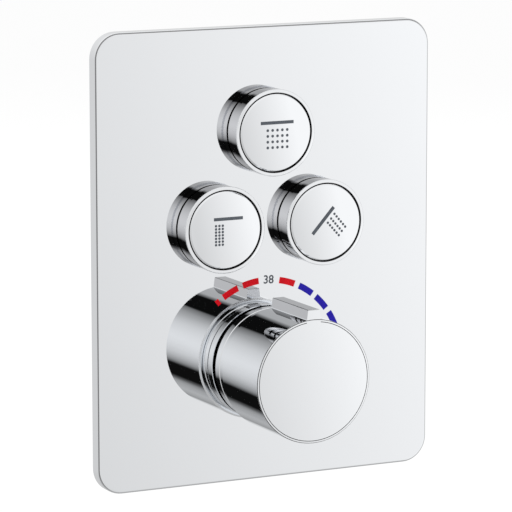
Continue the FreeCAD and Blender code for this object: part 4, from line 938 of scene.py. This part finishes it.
def ring_level(tree, rightward, upward):
    """Brightness of ROOM_RING at a direction's angle round straight ahead."""
    around = calc(tree, "ARCTAN2", upward, rightward)
    share = calc(tree, "MULTIPLY_ADD", around, 0.5 / math.pi, 0.5)
    ring = add(tree, "ValToRGB", {"Fac": share})
    stops = ring.color_ramp.elements
    while len(stops) > 1:
        stops.remove(stops[-1])
    for index, (degrees, level) in enumerate(ROOM_RING):
        place = (degrees + 180.0) / 360.0
        stop = stops[0] if index == 0 else stops.new(place)
        stop.position = place
        stop.color = (level, level, level, 1.0)
    return add(tree, "SeparateXYZ", {"Vector": ring.outputs["Color"]}).outputs[0]


def screened(tree, level, ahead, rightward, upward):
    """A level with the screen at the right and below laid over it."""
    safe_ahead = calc(tree, "MAXIMUM", ahead, LEAST_AHEAD)
    across = calc(tree, "DIVIDE", rightward, safe_ahead)
    above = calc(tree, "DIVIDE", upward, safe_ahead)
    darkest, brightest = SCREEN_LEVELS
    screen = calc(tree, "MAXIMUM", graded(tree, SCREEN, across, above), darkest)
    screen = calc(tree, "MINIMUM", screen, brightest)
    at_right = smooth_step(tree, across, *SCREEN_ACROSS)
    below = smooth_step(tree, above, *SCREEN_BELOW, 1.0, 0.0)
    return blend_value(tree, calc(tree, "MULTIPLY", at_right, below), level, screen)


def make_room():
    """World: a pale room for what mirrors it, soft light for matt surfaces, white behind all."""
    world = bpy.data.worlds.new("studio")
    bpy.context.scene.world = world
    world.use_nodes = True
    tree = world.node_tree
    tree.nodes.clear()
    path = add(tree, "LightPath").outputs
    towards = add(tree, "TexCoord").outputs["Generated"]
    rightward, inward, upward = add(tree, "SeparateXYZ", {"Vector": towards}).outputs
    ahead = calc(tree, "MULTIPLY", inward, -1.0)

    once = calc(tree, "LESS_THAN", path["Ray Depth"], MIRRORED_ONCE)
    level = blend_value(tree, once, ring_level(tree, rightward, upward),
                        graded(tree, PALE_ROOM, rightward, upward))
    level = screened(tree, level, ahead, rightward, upward)
    level = blend_value(tree, fade(tree, ahead, MIDDLE_FADE), level, MIDDLE_LEVEL)
    level = blend_value(tree, fade(tree, ahead, SIDE_FADE), level,
                        graded(tree, SIDE_WALLS, rightward, upward))
    gap = calc(tree, "MULTIPLY", fade(tree, ahead, GAP_STARTS), fade(tree, ahead, GAP_ENDS))
    gap = calc(tree, "MULTIPLY", gap, graded(tree, GAP_STRENGTH, rightward, upward))
    level = blend_value(tree, calc(tree, "MAXIMUM", gap, 0.0), level, 0.0)

    level = blend_value(tree, path["Is Diffuse Ray"], level,
                        graded(tree, SOFT_LIGHT, rightward, upward))
    level = blend_value(tree, path["Is Camera Ray"], level, 1.0)
    grey = add(tree, "CombineXYZ", {0: level, 1: level, 2: level}).outputs[0]
    background = add(tree, "Background", {"Color": grey, "Strength": 1.0}).outputs[0]
    add(tree, "OutputWorld", {"Surface": background})


make_room()


def soft_box(name, place, size, power):
    """Square lamp that lights matt surfaces of the valve and isn't mirrored in the chrome."""
    lamp = bpy.data.lights.new(name, "AREA")
    lamp.size = size
    lamp.energy = power
    lit = bpy.data.objects.new(name, lamp)
    bpy.context.scene.collection.objects.link(lit)
    lit.location = place
    lit.rotation_euler = (-Vector(place)).to_track_quat("-Z", "Y").to_euler()
    lit.visible_glossy = False
    lit.visible_camera = False


soft_box("key lamp", (-1.2, -1.4, 1.6), size=1.2, power=22.0)
soft_box("back lamp", (1.4, 1.6, 1.4), size=1.4, power=18.0)

bpy.context.scene.view_settings.view_transform = "Standard"
